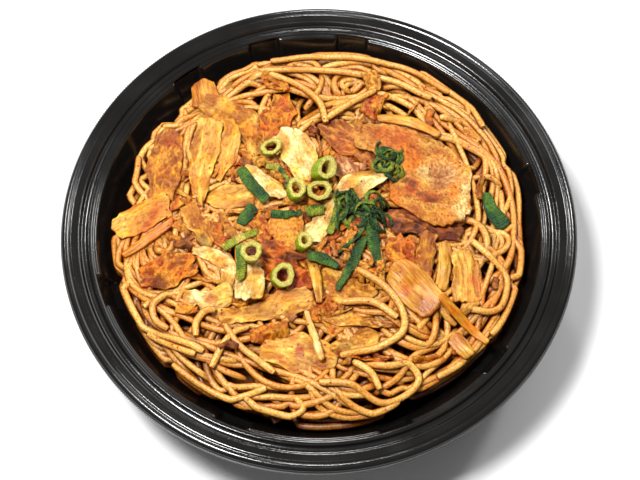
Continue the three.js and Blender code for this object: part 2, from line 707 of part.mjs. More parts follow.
function buildDish() {
  const dish = new THREE.Group();
  const tray = traySolid();
  dish.add(named("tray", tray, "plastic"));

  const core = heapCore();
  const map = new HeightMap();
  map.add(core);
  const laid = [];
  const lay = (name, geometry, skin) => {
    settle(geometry, map);
    map.add(geometry);
    laid.push(geometry);
    dish.add(named(name, solidOf(geometry), skin));
  };
  SLICES.forEach(([name, kind, route, halfWidths], order) => {
    lay(name, sliceGeometry(kind, route, halfWidths, TURN_BETWEEN_SLICES * order, map), kind);
  });
  RINGS.forEach(([name, middle, radius, height, squash, turn, tilt]) => {
    lay(name, ringGeometry(middle, radius, height, squash, turn, tilt, map), "onion");
  });

  const others = laid.reduce((all, geometry) => all.add(solidOf(geometry)), tray);
  const routes = [...NOODLE_ROUTES, ...fillerRoutes()];
  dish.add(named("noodles", heapSolid(core, routes, slicesMap(laid), others), "noodle"));
  return dish;
}

export default buildDish();
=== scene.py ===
# %% [markdown]
# # A tray of fried noodles
# A round black takeaway tray holds a heap of fried noodles. Cabbage, kimchi, pork and green onion lie on it.
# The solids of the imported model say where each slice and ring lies, and how big the heap is. This lesson
# dresses each of them: the same shape, with the thin edges, wrinkles and colours of the real food.

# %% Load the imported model
import math

import bmesh
import bpy
import numpy as np
from mathutils import Matrix, Vector, noise
from mathutils.bvhtree import BVHTree


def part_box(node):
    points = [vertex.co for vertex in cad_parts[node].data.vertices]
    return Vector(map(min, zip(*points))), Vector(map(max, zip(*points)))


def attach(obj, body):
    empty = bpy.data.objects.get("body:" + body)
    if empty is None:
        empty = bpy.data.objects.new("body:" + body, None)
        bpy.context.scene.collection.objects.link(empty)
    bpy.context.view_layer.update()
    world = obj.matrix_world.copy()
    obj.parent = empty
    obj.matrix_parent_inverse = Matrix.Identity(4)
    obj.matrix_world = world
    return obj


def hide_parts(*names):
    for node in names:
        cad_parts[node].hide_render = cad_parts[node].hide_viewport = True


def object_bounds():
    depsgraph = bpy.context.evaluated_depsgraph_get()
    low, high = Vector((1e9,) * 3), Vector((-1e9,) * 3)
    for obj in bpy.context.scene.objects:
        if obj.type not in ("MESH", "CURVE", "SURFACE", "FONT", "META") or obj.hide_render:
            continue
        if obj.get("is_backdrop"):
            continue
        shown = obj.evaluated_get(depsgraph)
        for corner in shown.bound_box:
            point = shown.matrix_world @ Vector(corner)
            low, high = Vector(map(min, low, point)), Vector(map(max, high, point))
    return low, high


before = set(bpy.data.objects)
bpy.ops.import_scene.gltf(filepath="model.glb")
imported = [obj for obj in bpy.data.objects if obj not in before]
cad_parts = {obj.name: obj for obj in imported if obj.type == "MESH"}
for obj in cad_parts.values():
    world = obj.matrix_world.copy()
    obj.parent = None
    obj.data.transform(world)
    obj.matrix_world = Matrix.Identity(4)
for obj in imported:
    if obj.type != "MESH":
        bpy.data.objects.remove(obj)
cad_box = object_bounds()
MM = 0.001
print("nodes in the packed model:", len(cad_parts))

# %% [markdown]
# ## The camera
# The tray's rim is a circle, and the photograph shows it as an ellipse. The ratio of its two axes gives how
# steeply the camera looks down, and the difference between its near and far half gives the distance.
# The camera looks at a point a little nearer than the middle of the rim, as the photograph does.

# %% Camera
RIM_HEIGHT = 42
CAMERA_TILT = math.radians(63.8)
CAMERA_DISTANCE = 700
CAMERA_LENS = 99.3
AIM = Vector((0.4, -6.7, RIM_HEIGHT))

camera_data = bpy.data.cameras.new("camera")
camera_data.lens = CAMERA_LENS
camera_data.sensor_width = 36
camera = bpy.data.objects.new("camera", camera_data)
bpy.context.scene.collection.objects.link(camera)
back_and_up = Vector((0, -math.cos(CAMERA_TILT), math.sin(CAMERA_TILT)))
camera.location = (Vector((0, 0, RIM_HEIGHT)) + back_and_up * CAMERA_DISTANCE) * MM
camera.rotation_euler = (AIM * MM - camera.location).to_track_quat("-Z", "Y").to_euler()
bpy.context.scene.camera = camera
print("camera at", [round(value, 3) for value in camera.location])

# %% [markdown]
# ## Light and floor
# Oily food looks wet because lights mirror in it. One soft light stands above the tray, a little to the left,
# and a weaker one behind it fills the shadows. Three small ones draw the thin bright lines that run along the
# beads of the rim. The floor is plain and nearly white.

# %% Light and floor
KEY_LIGHT = {"place": (-240, -60, 880), "size": 200, "watts": 10.2}
FILL_LIGHT = {"place": (420, 560, 620), "size": 500, "watts": 1.6}
GLINT_PLACES = ((-520, 440, 740), (520, 440, 740), (0, 800, 520))
GLINT_LIGHT = {"size": 90, "watts": 1.8}
FLOOR_WHITE = 0.9
FLOOR_ROUGHNESS = 0.9
FLOOR_HALF_WIDTH = 2
WORLD_GREY = 0.18


def add_soft_light(name, place, size, watts):
    data = bpy.data.lights.new(name, "AREA")
    data.energy = watts
    data.size = size * MM
    lamp = bpy.data.objects.new(name, data)
    lamp.location = Vector(place) * MM
    lamp.rotation_euler = (-lamp.location).to_track_quat("-Z", "Y").to_euler()
    bpy.context.scene.collection.objects.link(lamp)
    return lamp


def new_material(name, constants):
    """A material whose shader has some constant values, with its node tree and its shader."""
    material = bpy.data.materials.new(name)
    material.use_nodes = True
    shader = material.node_tree.nodes["Principled BSDF"]
    for label, value in constants.items():
        shader.inputs[label].default_value = value
    return material, material.node_tree, shader


add_soft_light("key_light", **KEY_LIGHT)
add_soft_light("fill_light", **FILL_LIGHT)
for side, place in zip(("left", "right", "far"), GLINT_PLACES):
    add_soft_light("glint_light_" + side, place, **GLINT_LIGHT)

world = bpy.data.worlds.new("studio")
bpy.context.scene.world = world
world.use_nodes = True
world.node_tree.nodes["Background"].inputs["Color"].default_value = (1, 1, 1, 1)
world.node_tree.nodes["Background"].inputs["Strength"].default_value = WORLD_GREY

floor_mesh = bpy.data.meshes.new("floor")
sheet = bmesh.new()
bmesh.ops.create_grid(sheet, x_segments=1, y_segments=1, size=FLOOR_HALF_WIDTH)
sheet.to_mesh(floor_mesh)
sheet.free()
floor = bpy.data.objects.new("floor", floor_mesh)
bpy.context.scene.collection.objects.link(floor)
floor_paint = {"Base Color": (FLOOR_WHITE, FLOOR_WHITE, FLOOR_WHITE, 1), "Roughness": FLOOR_ROUGHNESS}
floor_mesh.materials.append(new_material("floor_white", floor_paint)[0])
floor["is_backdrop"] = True
bpy.context.scene.view_settings.view_transform = "Standard"
print("floor and", len(bpy.data.lights), "lights")

# %% [markdown]
# ## Colours
# Each colour has the name of the food it belongs to; a few of them are painted shade. They are written as
# they look on a screen and turned into the linear values that Blender's shaders work with.

# %% Palette


def screen_colour(red, green, blue):
    """Linear red, green and blue of a colour given in the 0 to 255 steps of a screen."""
    steps = np.array([red, green, blue]) / 255
    return np.where(steps < 0.04045, steps / 12.92, ((steps + 0.055) / 1.055) ** 2.4)


def blend(first, second, share):
    """Something between two values or colours: the first at share 0, the second at share 1."""
    return first * (1 - share) + second * share


CREAM = screen_colour(255, 242, 172)
PALE_LEAF = screen_colour(240, 196, 92)
GOLD_LEAF = screen_colour(232, 174, 54)
BROWN_LEAF = screen_colour(196, 128, 54)
DEEP_BROWN = screen_colour(124, 66, 28)
ORANGE = screen_colour(236, 146, 30)
DEEP_ORANGE = screen_colour(208, 100, 28)
RED = screen_colour(172, 50, 16)
DARK_RED = screen_colour(104, 22, 8)
FLAKE_RED = screen_colour(150, 50, 14)
PORK_PINK = screen_colour(232, 170, 80)
PORK_GREY = screen_colour(224, 176, 124)
FAT = screen_colour(255, 242, 176)
OLIVE = screen_colour(150, 134, 70)
DARK_GREEN = screen_colour(32, 84, 40)
MID_GREEN = screen_colour(82, 138, 50)
LIGHT_GREEN = screen_colour(158, 186, 52)
RING_PALE = screen_colour(228, 224, 120)
NOODLE_PALE = screen_colour(242, 196, 102)
NOODLE_GOLD = screen_colour(224, 158, 64)
# Painted shade for strands deep in the heap.
NOODLE_SHADE_BROWN = screen_colour(150, 88, 22)
# Painted shade toward a strand's outline.
NOODLE_OUTLINE_SHADE = screen_colour(168, 110, 48)
OIL = screen_colour(244, 192, 112)
# Painted shade for the inside of the heap.
HEAP_SHADE = screen_colour(58, 26, 4)
# Painted shade for low relief on food.
PAINTED_SHADE_BROWN = screen_colour(198, 150, 66)
MOTTLE_BROWN = screen_colour(206, 152, 72)
# Painted shade for creases.
CREASE_SHADE_BROWN = screen_colour(176, 116, 48)
print("palette ready")

# %% [markdown]
# ## Shader groups that the finishes share
# Chilli oil has run over everything, and small flakes of chilli stick to it. That is one effect on many
# foods, so it is one node group: it takes a colour and gives it back stained and speckled. A second group
# makes the fine relief that breaks up the highlights on all wet food. A third paints shade into the
# creases, where little light comes.

# %% Node helpers


def add_node(tree, kind, inputs=None, **settings):
    """A new node; its inputs are values, or sockets to link from."""
    node = tree.nodes.new(kind)
    for key, value in settings.items():
        setattr(node, key, value)
    for name, value in (inputs or {}).items():
        if isinstance(value, bpy.types.NodeSocket):
            tree.links.new(value, node.inputs[name])
        else:
            node.inputs[name].default_value = value
    return node


def new_group(name, inputs, outputs):
    """An empty shader group with named sockets, and its input and output nodes."""
    tree = bpy.data.node_groups.new(name, "ShaderNodeTree")
    for label, kind, start in inputs:
        socket = tree.interface.new_socket(label, in_out="INPUT", socket_type=kind)
        socket.default_value = start
    for label, kind in outputs:
        tree.interface.new_socket(label, in_out="OUTPUT", socket_type=kind)
    return tree, tree.nodes.new("NodeGroupInput"), tree.nodes.new("NodeGroupOutput")


def colour_mix(tree, share, first, second, way="MIX"):
    """The colour socket of a mix of two colours."""
    inputs = {0: share, 6: first, 7: second}
    return add_node(tree, "ShaderNodeMix", inputs, data_type="RGBA", blend_type=way).outputs[2]


def maths(tree, operation, *values):
    """The result of a maths node for some values or sockets."""
    return add_node(tree, "ShaderNodeMath", dict(enumerate(values)), operation=operation).outputs[0]


def object_place(tree):
    return add_node(tree, "ShaderNodeTexCoord").outputs["Object"]


def noise_at(tree, place, scale, detail, roughness=0.5):
    """The value of a noise texture at a place."""
    inputs = {"Vector": place, "Scale": scale, "Detail": detail, "Roughness": roughness}
    return add_node(tree, "ShaderNodeTexNoise", inputs).outputs["Fac"]


def ramp(tree, value, low, high, to_low=0.0, to_high=1.0):
    """A value moved from one range to another, held at both ends."""
    inputs = {"Value": value, "From Min": low, "From Max": high, "To Min": to_low, "To Max": to_high}
    return add_node(tree, "ShaderNodeMapRange", inputs).outputs["Result"]


def solid(colour):
    return (*colour, 1)


# %% Chilli oil group
# Noise scales, in repeats per metre.
STAIN_SIZE = 110
FLAKE_SIZE = 480
MOTTLE_SIZE = 950

oil_tree, oil_in, oil_out = new_group(
    "chilli_oil",
    [
        ("Color", "NodeSocketColor", (1, 1, 1, 1)),
        ("Oil", "NodeSocketFloat", 0.4),
        ("Flakes", "NodeSocketFloat", 0.5),
        ("Mottle", "NodeSocketFloat", 0.3),
    ],
    [("Color", "NodeSocketColor"), ("Flake", "NodeSocketFloat")],
)
place = object_place(oil_tree)
stain_mask = ramp(oil_tree, noise_at(oil_tree, place, STAIN_SIZE, 5), 0.47, 0.62)
stain_share = maths(oil_tree, "MULTIPLY", stain_mask, oil_in.outputs["Oil"])
stained = colour_mix(oil_tree, stain_share, oil_in.outputs["Color"], solid(OIL), "MULTIPLY")
mottle_value = ramp(oil_tree, noise_at(oil_tree, place, MOTTLE_SIZE, 3), 0.42, 0.6)
mottle_share = maths(oil_tree, "MULTIPLY", mottle_value, oil_in.outputs["Mottle"])
mottled = colour_mix(oil_tree, mottle_share, stained, solid(MOTTLE_BROWN), "MULTIPLY")
flake_cells = add_node(oil_tree, "ShaderNodeTexVoronoi", {"Vector": place, "Scale": FLAKE_SIZE})
flake_near = ramp(oil_tree, flake_cells.outputs["Distance"], 0.16, 0.26, 1, 0)
flake_luck = add_node(oil_tree, "ShaderNodeSeparateColor", {"Color": flake_cells.outputs["Color"]})
flake_pick = maths(oil_tree, "LESS_THAN", flake_luck.outputs["Red"], oil_in.outputs["Flakes"])
flake_mask = maths(oil_tree, "MULTIPLY", flake_near, flake_pick)
flecked = colour_mix(oil_tree, flake_mask, mottled, solid(FLAKE_RED))
oil_tree.links.new(flecked, oil_out.inputs["Color"])
oil_tree.links.new(flake_mask, oil_out.inputs["Flake"])
print("group chilli_oil:", len(oil_tree.nodes), "nodes")

# %% Wet relief group
RIB_PITCH = 0.85

relief_tree, relief_in, relief_out = new_group(
    "wet_relief",
    [
        ("Place", "NodeSocketVector", (0, 0, 0)),
        ("Size", "NodeSocketFloat", 500.0),
        ("Stretch", "NodeSocketVector", (1, 1, 1)),
        ("Ribs", "NodeSocketFloat", 0.0),
    ],
    [("Height", "NodeSocketFloat")],
)
stretched = add_node(
    relief_tree,
    "ShaderNodeVectorMath",
    {0: relief_in.outputs["Place"], 1: relief_in.outputs["Stretch"]},
    operation="MULTIPLY",
).outputs[0]
relief_noise = noise_at(relief_tree, stretched, relief_in.outputs["Size"], 5, 0.72)
along_place = add_node(relief_tree, "ShaderNodeSeparateXYZ", {"Vector": relief_in.outputs["Place"]}).outputs["X"]
rib_wave = maths(relief_tree, "SINE", maths(relief_tree, "MULTIPLY", along_place, 2 * math.pi / RIB_PITCH))
relief_sum = maths(relief_tree, "MULTIPLY_ADD", rib_wave, relief_in.outputs["Ribs"], relief_noise)
relief_tree.links.new(relief_sum, relief_out.inputs["Height"])
print("group wet_relief:", len(relief_tree.nodes), "nodes")

# %% Painted crease shade group
CREASE_REACH = 3.0

crease_tree, crease_in, crease_out = new_group(
    "painted_crease_shade", [("Color", "NodeSocketColor", (1, 1, 1, 1))], [("Color", "NodeSocketColor")]
)
# Painted shade: ambient occlusion darkens the colour where the surface is closed in.
openness = add_node(crease_tree, "ShaderNodeAmbientOcclusion", {"Distance": CREASE_REACH * MM}, samples=4)
crease_shade_share = ramp(crease_tree, openness.outputs["AO"], 0.25, 0.8, 0.9, 0)
crease_shaded = colour_mix(crease_tree, crease_shade_share, crease_in.outputs["Color"], solid(CREASE_SHADE_BROWN), "MULTIPLY")
crease_tree.links.new(crease_shaded, crease_out.inputs["Color"])
print("group painted_crease_shade:", len(crease_tree.nodes), "nodes")

# %% [markdown]
# ## Finishes
# Every food reads its main colour from an attribute named paint, which the modelling steps fill in vertex by
# vertex, with painted shade and painted highlights in it. The finish adds chilli oil, painted shade in low
# relief and creases, fine relief and gloss. Leaves and fat let some light through.

# %% Finish maker
BUMP_HEIGHT = 1.1
FOOD_SPECULAR = 0.45
LIGHT_REACH = (1.2 * MM, 0.8 * MM, 0.3 * MM)
# Ranges of the relief and of the facing angle, and the shares of painted shade they turn into.
VALLEYS = (0.38, 0.56, 0.85, 0)
RIM_SHADE = (0.25, 0.8)
GLOSS_FROM, GLOSS_TO = (0.3, -0.06), (0.7, 0.16)


def put_group(tree, group, inputs):
    return add_node(tree, "ShaderNodeGroup", inputs, node_tree=group)


def food_finish(name, oil, flakes, mottle, size, stretch, bump, gloss, glow, ribs=0.0, round_body=False):
    """A wet food: painted by attribute, stained with chilli oil, with relief that follows its grain.

    A round body has no grain of its own, so its relief is a plain texture of space in millimetres.
    """
    glow_inputs = {"Subsurface Weight": glow, "Subsurface Radius": LIGHT_REACH, "Subsurface Scale": 1}
    finish, tree, shader = new_material(name, {"Specular IOR Level": FOOD_SPECULAR, **glow_inputs})
    paint = add_node(tree, "ShaderNodeAttribute", attribute_name="paint").outputs["Color"]
    colour = put_group(tree, oil_tree, {"Color": paint, "Oil": oil, "Flakes": flakes, "Mottle": mottle})
    if round_body:
        inputs = {0: object_place(tree), "Scale": 1 / MM}
        place = add_node(tree, "ShaderNodeVectorMath", inputs, operation="SCALE").outputs[0]
    else:
        place = add_node(tree, "ShaderNodeAttribute", attribute_name="grain").outputs["Vector"]
    relief = put_group(tree, relief_tree, {"Place": place, "Size": size, "Stretch": stretch, "Ribs": ribs})
    height = relief.outputs["Height"]
    bumps = add_node(tree, "ShaderNodeBump", {"Height": height, "Strength": bump, "Distance": BUMP_HEIGHT * MM})
    # Painted shade: the colour is darker where the fine relief is low.
    valley = ramp(tree, height, *VALLEYS)
    shaded = colour_mix(tree, valley, colour.outputs["Color"], solid(PAINTED_SHADE_BROWN), "MULTIPLY")
    # A round body gets painted shade toward its outline, where it turns away from the view.
    if round_body:
        rim = add_node(tree, "ShaderNodeLayerWeight", {"Blend": 0.5}).outputs["Facing"]
        shaded = colour_mix(tree, ramp(tree, rim, *RIM_SHADE), shaded, solid(NOODLE_OUTLINE_SHADE), "MULTIPLY")
    # Painted shade in the creases.
    crease_shaded = put_group(tree, crease_tree, {"Color": shaded})
    tree.links.new(crease_shaded.outputs["Color"], shader.inputs["Base Color"])
    tree.links.new(bumps.outputs["Normal"], shader.inputs["Normal"])
    rough = ramp(tree, height, GLOSS_FROM[0], GLOSS_TO[0], gloss + GLOSS_FROM[1], gloss + GLOSS_TO[1])
    tree.links.new(rough, shader.inputs["Roughness"])
    return finish


# Of each food: name, oil, flakes, mottle, size and stretch of the relief, bump, gloss, glow; then ribs, round body.
FINISH = {
    "leaf": ("cooked_leaf", 0.3, 0.14, 0.45, 0.8, (0.6, 1, 1), 1.0, 0.28, 0.05),
    "smooth": ("smooth_leaf", 0.25, 0.14, 0.4, 0.8, (0.5, 1, 1), 0.7, 0.25, 0.08),
    "cream": ("pale_leaf", 0.15, 0.08, 0.2, 0.9, (0.7, 1, 1), 0.8, 0.3, 0.12),
    "kimchi": ("kimchi_leaf", 0.6, 0.35, 0.5, 0.8, (0.8, 1, 1), 1.0, 0.26, 0.04),
    "meat": ("shredded_meat", 0.5, 0.25, 0.6, 0.9, (0.35, 1, 1), 1.0, 0.34, 0.03),
    "pork": ("pork_slice", 0.4, 0.3, 0.6, 1.0, (0.8, 1, 1), 0.9, 0.3, 0.06),
    "stem": ("cabbage_stem", 0.35, 0.1, 0.3, 1.0, (0.12, 1, 1), 0.5, 0.24, 0.1),
    "green": ("onion_leaf", 0.0, 0.0, 0.4, 1.6, (0.6, 0.6, 1), 0.9, 0.24, 0.05, 0.07),
    "ring": ("onion_cut", 0.0, 0.02, 0.3, 1.5, (1, 1, 1), 0.6, 0.26, 0.12),
    "noodle": ("oily_noodle", 0.35, 0.12, 0.25, 1.2, (1, 1, 1), 0.2, 0.26, 0.02, 0, True),
}
FINISH = {food: food_finish(*values) for food, values in FINISH.items()}
FINISH["rib"] = FINISH["strip"] = FINISH["stem"]

TRAY_BLACK = (0.0055, 0.005, 0.0045)
tray_finish, tray_tree, tray_shader = new_material(
    "moulded_black", {"Base Color": solid(TRAY_BLACK), "Specular IOR Level": 0.65}
)
tray_grain = noise_at(tray_tree, object_place(tray_tree), 900, 3)
tray_cloud = noise_at(tray_tree, object_place(tray_tree), 60, 4)
tray_bump = add_node(tray_tree, "ShaderNodeBump", {"Height": tray_grain, "Strength": 0.12, "Distance": 0.3 * MM})
tray_tree.links.new(tray_bump.outputs["Normal"], tray_shader.inputs["Normal"])
tray_tree.links.new(ramp(tray_tree, tray_cloud, 0.3, 0.7, 0.11, 0.22), tray_shader.inputs["Roughness"])
print("finishes:", len(FINISH) + 1)

# %% [markdown]
# ## Placing a piece
# A finished piece rides on the tray's body and hides the solids it stands for. Its object stays at the
# origin, because its place is in its mesh.

# %% Placing helper


def place_piece(name, mesh, finish, slot, *nodes):
    """The object of a finished mesh, dressed and in place of its solids."""
    mesh.name = name
    mesh.materials.clear()
    mesh.materials.append(finish)
    mesh.shade_smooth()
    piece = bpy.data.objects.new(name, mesh)
    bpy.context.scene.collection.objects.link(piece)
    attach(piece, "root")
    if nodes:
        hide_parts(*nodes)
    return piece


def count_faces(mesh):
    return sum(len(face.vertices) - 2 for face in mesh.polygons)


def paint_layers(body):
    """The two layers that every food's finish reads: its colour, and millimetres along and across its grain."""
    return body.verts.layers.float_color.new("paint"), body.verts.layers.float_vector.new("grain")


def finished_mesh(body, name):
    """The mesh of a finished body, with its faces turned outward."""
    bmesh.ops.recalc_face_normals(body, faces=body.faces)
    mesh = bpy.data.meshes.new(name)
    body.to_mesh(mesh)
    body.free()
    return mesh


# %% [markdown]
# ## The tray
# The tray is one thin moulded sheet: its section is the same all round, so one section is spun about the
# middle. The lid snaps into the groove of the rim. Stacking pockets are pressed outward into the top of the
# wall, so that two trays don't jam: there the spun wall is pushed out. The rim's skirt has fine ribs.

# %% Tray sizes
SHEET = 1.1
WALL_TOP = 88.4
WALL_TOP_DROP = 1.8
WALL_FOOT = 68.5
WALL_FOOT_HEIGHT = 3.2
WALL_SLOPE = (WALL_TOP - WALL_FOOT) / (RIM_HEIGHT - WALL_TOP_DROP - WALL_FOOT_HEIGHT)
POCKET_ANGLES = (14, 81, 105, 128, 198, 248, 289, 320)
POCKET_WIDTH = 12.5
POCKET_DEPTH = 1.9
POCKET_TOP = 1.7
POCKET_BOTTOM = 11.5
POCKET_CORNER = 1.6
POCKET_LEDGE = 90.1
INNER_SKIN = 0.9
TRAY_STEPS = 720


def wall_radius(height):
    """Inside radius of the tray's wall at a height above the foot."""
    return WALL_FOOT + WALL_SLOPE * (height - WALL_FOOT_HEIGHT)


def soft_step(value):
    """A value held between 0 and 1, with a soft start and a soft end."""
    share = min(max(value, 0.0), 1.0)
    return share * share * (3 - 2 * share)


# %% Tray section
def dropped(pairs):
    """Points of a section, given by their radius and how far they lie below the rim."""
    return [(radius, RIM_HEIGHT - depth) for radius, depth in pairs]


wall_drops = (2.2, 3.0, 5.0, 8.0, 10.9, 11.5, 11.9, 13.5, 18, 24, 30, 36)
inner_wall = [(wall_radius(RIM_HEIGHT - depth), RIM_HEIGHT - depth) for depth in wall_drops]
outer_wall = [(radius + SHEET, height) for radius, height in reversed(inner_wall[2:])]
rim = [
    (WALL_TOP + SHEET - 0.1, 3.3), (91.3, 3.4), (94.9, 3.4), (95.6, 3.1), (95.9, 2.0), (96.6, 1.6), (100.7, 1.5),
    (101.3, 2.0), (101.4, 4.4), (101.6, 4.5), (102.0, 4.5), (102.1, 4.4), (102.1, 1.1), (101.9, 0.7),
    (101.5, 0.4), (101.0, 0.15), (100.5, 0.0), (100.0, 0.0), (99.5, 0.25), (99.2, 0.45), (98.9, 0.3),
    (98.4, 0.03), (97.9, 0.0), (97.4, 0.15), (96.0, 0.4), (95.3, 0.5), (95.0, 0.7), (94.5, 1.9), (94.2, 2.2),
    (92.5, 2.2), (92.1, 1.9), (91.8, 1.1), (91.5, 0.8), (91.2, 0.8), (90.3, 1.0), (89.9, 1.2), (89.5, 1.65),
    (89.0, 1.7), (88.6, 1.75),
]
tray_section = [
    (0, 1.4), (30, 1.4), (54.6, 1.4), (55.4, 1.2), (57.2, 0.2), (57.9, 0), (65.2, 0), (66.4, 0.15),
    (67.8, 0.6), (WALL_FOOT + SHEET, 2.6), *outer_wall, *dropped(rim), *inner_wall,
    (WALL_FOOT + 0.2, 3.6), (WALL_FOOT - 0.6, 2.5), (66.4, 1.8), (57.2, 1.5), (56.2, 1.7), (54.4, 2.5),
    (53.4, 2.6), (30, 2.6), (0, 2.6),
]
print("tray section:", len(tray_section), "points")

# %% Spin the tray
def spun(section, steps):
    """A bmesh of a section, given as radius and height in millimetres, spun a full turn about the axis."""
    body = bmesh.new()
    points = [body.verts.new((radius * MM, 0, height * MM)) for radius, height in section]
    edges = [body.edges.new(pair) for pair in zip(points, points[1:])]
    bmesh.ops.spin(
        body, geom=points + edges, axis=(0, 0, 1), cent=(0, 0, 0), angle=2 * math.pi, steps=steps, use_merge=True
    )
    bmesh.ops.remove_doubles(body, verts=body.verts, dist=0.002 * MM)
    bmesh.ops.recalc_face_normals(body, faces=body.faces)
    return body


def pocket_push(angle):
    """How far the wall is pushed out at an angle, from none to the pocket's full depth."""
    away = min(abs((angle - middle + 180) % 360 - 180) for middle in POCKET_ANGLES)
    arc = math.radians(away) * WALL_TOP
    return POCKET_DEPTH * soft_step((POCKET_WIDTH / 2 + POCKET_CORNER / 2 - arc) / POCKET_CORNER)


tray_body = spun(tray_section, TRAY_STEPS)
for point in tray_body.verts:
    radius = math.hypot(point.co.x, point.co.y) / MM
    height = point.co.z / MM
    depth = RIM_HEIGHT - height
    outward = radius - wall_radius(height)
    inside = POCKET_TOP - 0.2 < depth < POCKET_BOTTOM + 0.1 and outward < INNER_SKIN
    outside = POCKET_TOP + SHEET < depth < POCKET_BOTTOM + 1 and INNER_SKIN <= outward < SHEET + 0.1
    if inside or outside:
        push = pocket_push(math.degrees(math.atan2(point.co.y, point.co.x)))
        target = min(radius + push, POCKET_LEDGE) if depth < POCKET_TOP + 0.3 else radius + push
        point.co.x *= target / radius
        point.co.y *= target / radius
tray_mesh = finished_mesh(tray_body, "tray_sheet")
print("tray:", count_faces(tray_mesh), "triangles")
place_piece("tray_sheet", tray_mesh, tray_finish, "tray_plastic", "tray")

# %% Ribbed skirt
RIBS = 600
RIB_DEPTH = 0.4
SKIRT_FACE = 102
skirt_section = dropped([(101.6, 4.2), (102.1, 4.2), (102.1, 1.3), (101.6, 1.1), (101.5, 2.5), (101.6, 4.2)])
skirt_body = spun(skirt_section, 2 * RIBS)
for point in skirt_body.verts:
    radius = math.hypot(point.co.x, point.co.y) / MM
    step = round(math.atan2(point.co.y, point.co.x) / (2 * math.pi) * 2 * RIBS)
    if radius > SKIRT_FACE and step % 2:
        point.co.x *= (radius + RIB_DEPTH) / radius
        point.co.y *= (radius + RIB_DEPTH) / radius
skirt_mesh = finished_mesh(skirt_body, "tray_skirt")
print("skirt:", RIBS, "ribs")
place_piece("tray_skirt", skirt_mesh, tray_finish, "tray_plastic", "tray")

# %% [markdown]
# ## Where the slices lie
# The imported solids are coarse, but they lie where the food lies. A ray sent straight down onto a solid gives
# the height of its top at any place, and a ray sent up gives its underside.

# %% Surfaces of the solids


def surface_of(node):
    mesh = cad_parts[node].data
    return BVHTree.FromPolygons([point.co for point in mesh.vertices], [face.vertices for face in mesh.polygons])


def height_on(surface, x, y, downward=True):
    """Height in millimetres of a surface over a spot of the plan, or None beside it."""
    start = Vector((x, y, 100 if downward else -10)) * MM
    hit = surface.ray_cast(start, Vector((0, 0, -1 if downward else 1)))[0]
    return hit.z / MM if hit else None


def smooth_route(points, spacing):
    """An even row of spots along a smooth line through points, and the length of the line."""
    knots = np.array(points, float)
    knots = np.vstack([2 * knots[0] - knots[1], knots, 2 * knots[-1] - knots[-2]])
    spots = []
    for k in range(1, len(knots) - 2):
        before, start, end, after = knots[k - 1:k + 3]
        gaps = [max(np.linalg.norm(b - a) ** 0.5, 1e-4) for a, b in ((before, start), (start, end), (end, after))]
        leave = (start - before) / gaps[0] - (end - before) / (gaps[0] + gaps[1]) + (end - start) / gaps[1]
        arrive = (end - start) / gaps[1] - (after - start) / (gaps[1] + gaps[2]) + (after - end) / gaps[2]
        leave, arrive = leave * gaps[1], arrive * gaps[1]
        share = np.linspace(0, 1, 40, endpoint=False)[:, None]
        spots.append(
            (2 * share**3 - 3 * share**2 + 1) * start
            + (share**3 - 2 * share**2 + share) * leave
            + (3 * share**2 - 2 * share**3) * end
            + (share**3 - share**2) * arrive
        )
    spots = np.vstack([*spots, knots[-2:-1]])
    way = np.concatenate([[0], np.cumsum(np.linalg.norm(np.diff(spots, axis=0), axis=1))])
    count = max(2, int(round(way[-1] / spacing)))
    even = np.linspace(0, way[-1], count + 1)
    return np.stack([np.interp(even, way, spots[:, axis]) for axis in range(spots.shape[1])], 1), way[-1]


# %% [markdown]
# ## Slices of cabbage, pork and green leaf
# Every slice is a flat grid that is laid along its middle line, dropped onto its solid, wrinkled, and then
# extruded to a thin closed piece. Each kind of food has its own wrinkles: a leaf has veins, kimchi is
# crinkled, meat is fibrous and a stem has fine straight ribs.

# %% Kinds of slice
# Of each kind: thickness in the middle and at the edge in millimetres, fray, how much painted highlight against
# painted shade its paint starts with, slot.
KINDS = {
    "leaf": (0.9, 0.45, 1.7, 0.5, "cabbage_leaf"),
    "smooth": (0.9, 0.45, 1.1, 0.65, "cabbage_leaf"),
    "cream": (1.4, 0.6, 1.3, 0.7, "cabbage_leaf"),
    "kimchi": (1.3, 0.6, 2.2, 0.5, "kimchi"),
    "meat": (1.8, 0.8, 1.8, 0.5, "cooked_meat"),
    "pork": (2.2, 1.0, 1.4, 0.65, "pork"),
    "stem": (3.6, 1.0, 0.4, 0.5, "cabbage_stem"),
    "rib": (2.4, 0.9, 0.3, 0.5, "cabbage_stem"),
    "strip": (1.6, 0.8, 0.3, 0.5, "cabbage_leaf"),
    "green": (0.8, 0.5, 0.4, 0.5, "onion_green"),
}


def wave(x, y, size, seed):
    """Smooth noise between about -1 and 1, with bumps of a size in millimetres."""
    return noise.noise(Vector((x / size, y / size, seed)))


def ridge(x, y, size, seed):
    """Sharp crests between soft valleys, from 0 to 1."""
    return 1 - min(1, abs(wave(x, y, size, seed)) * 3)


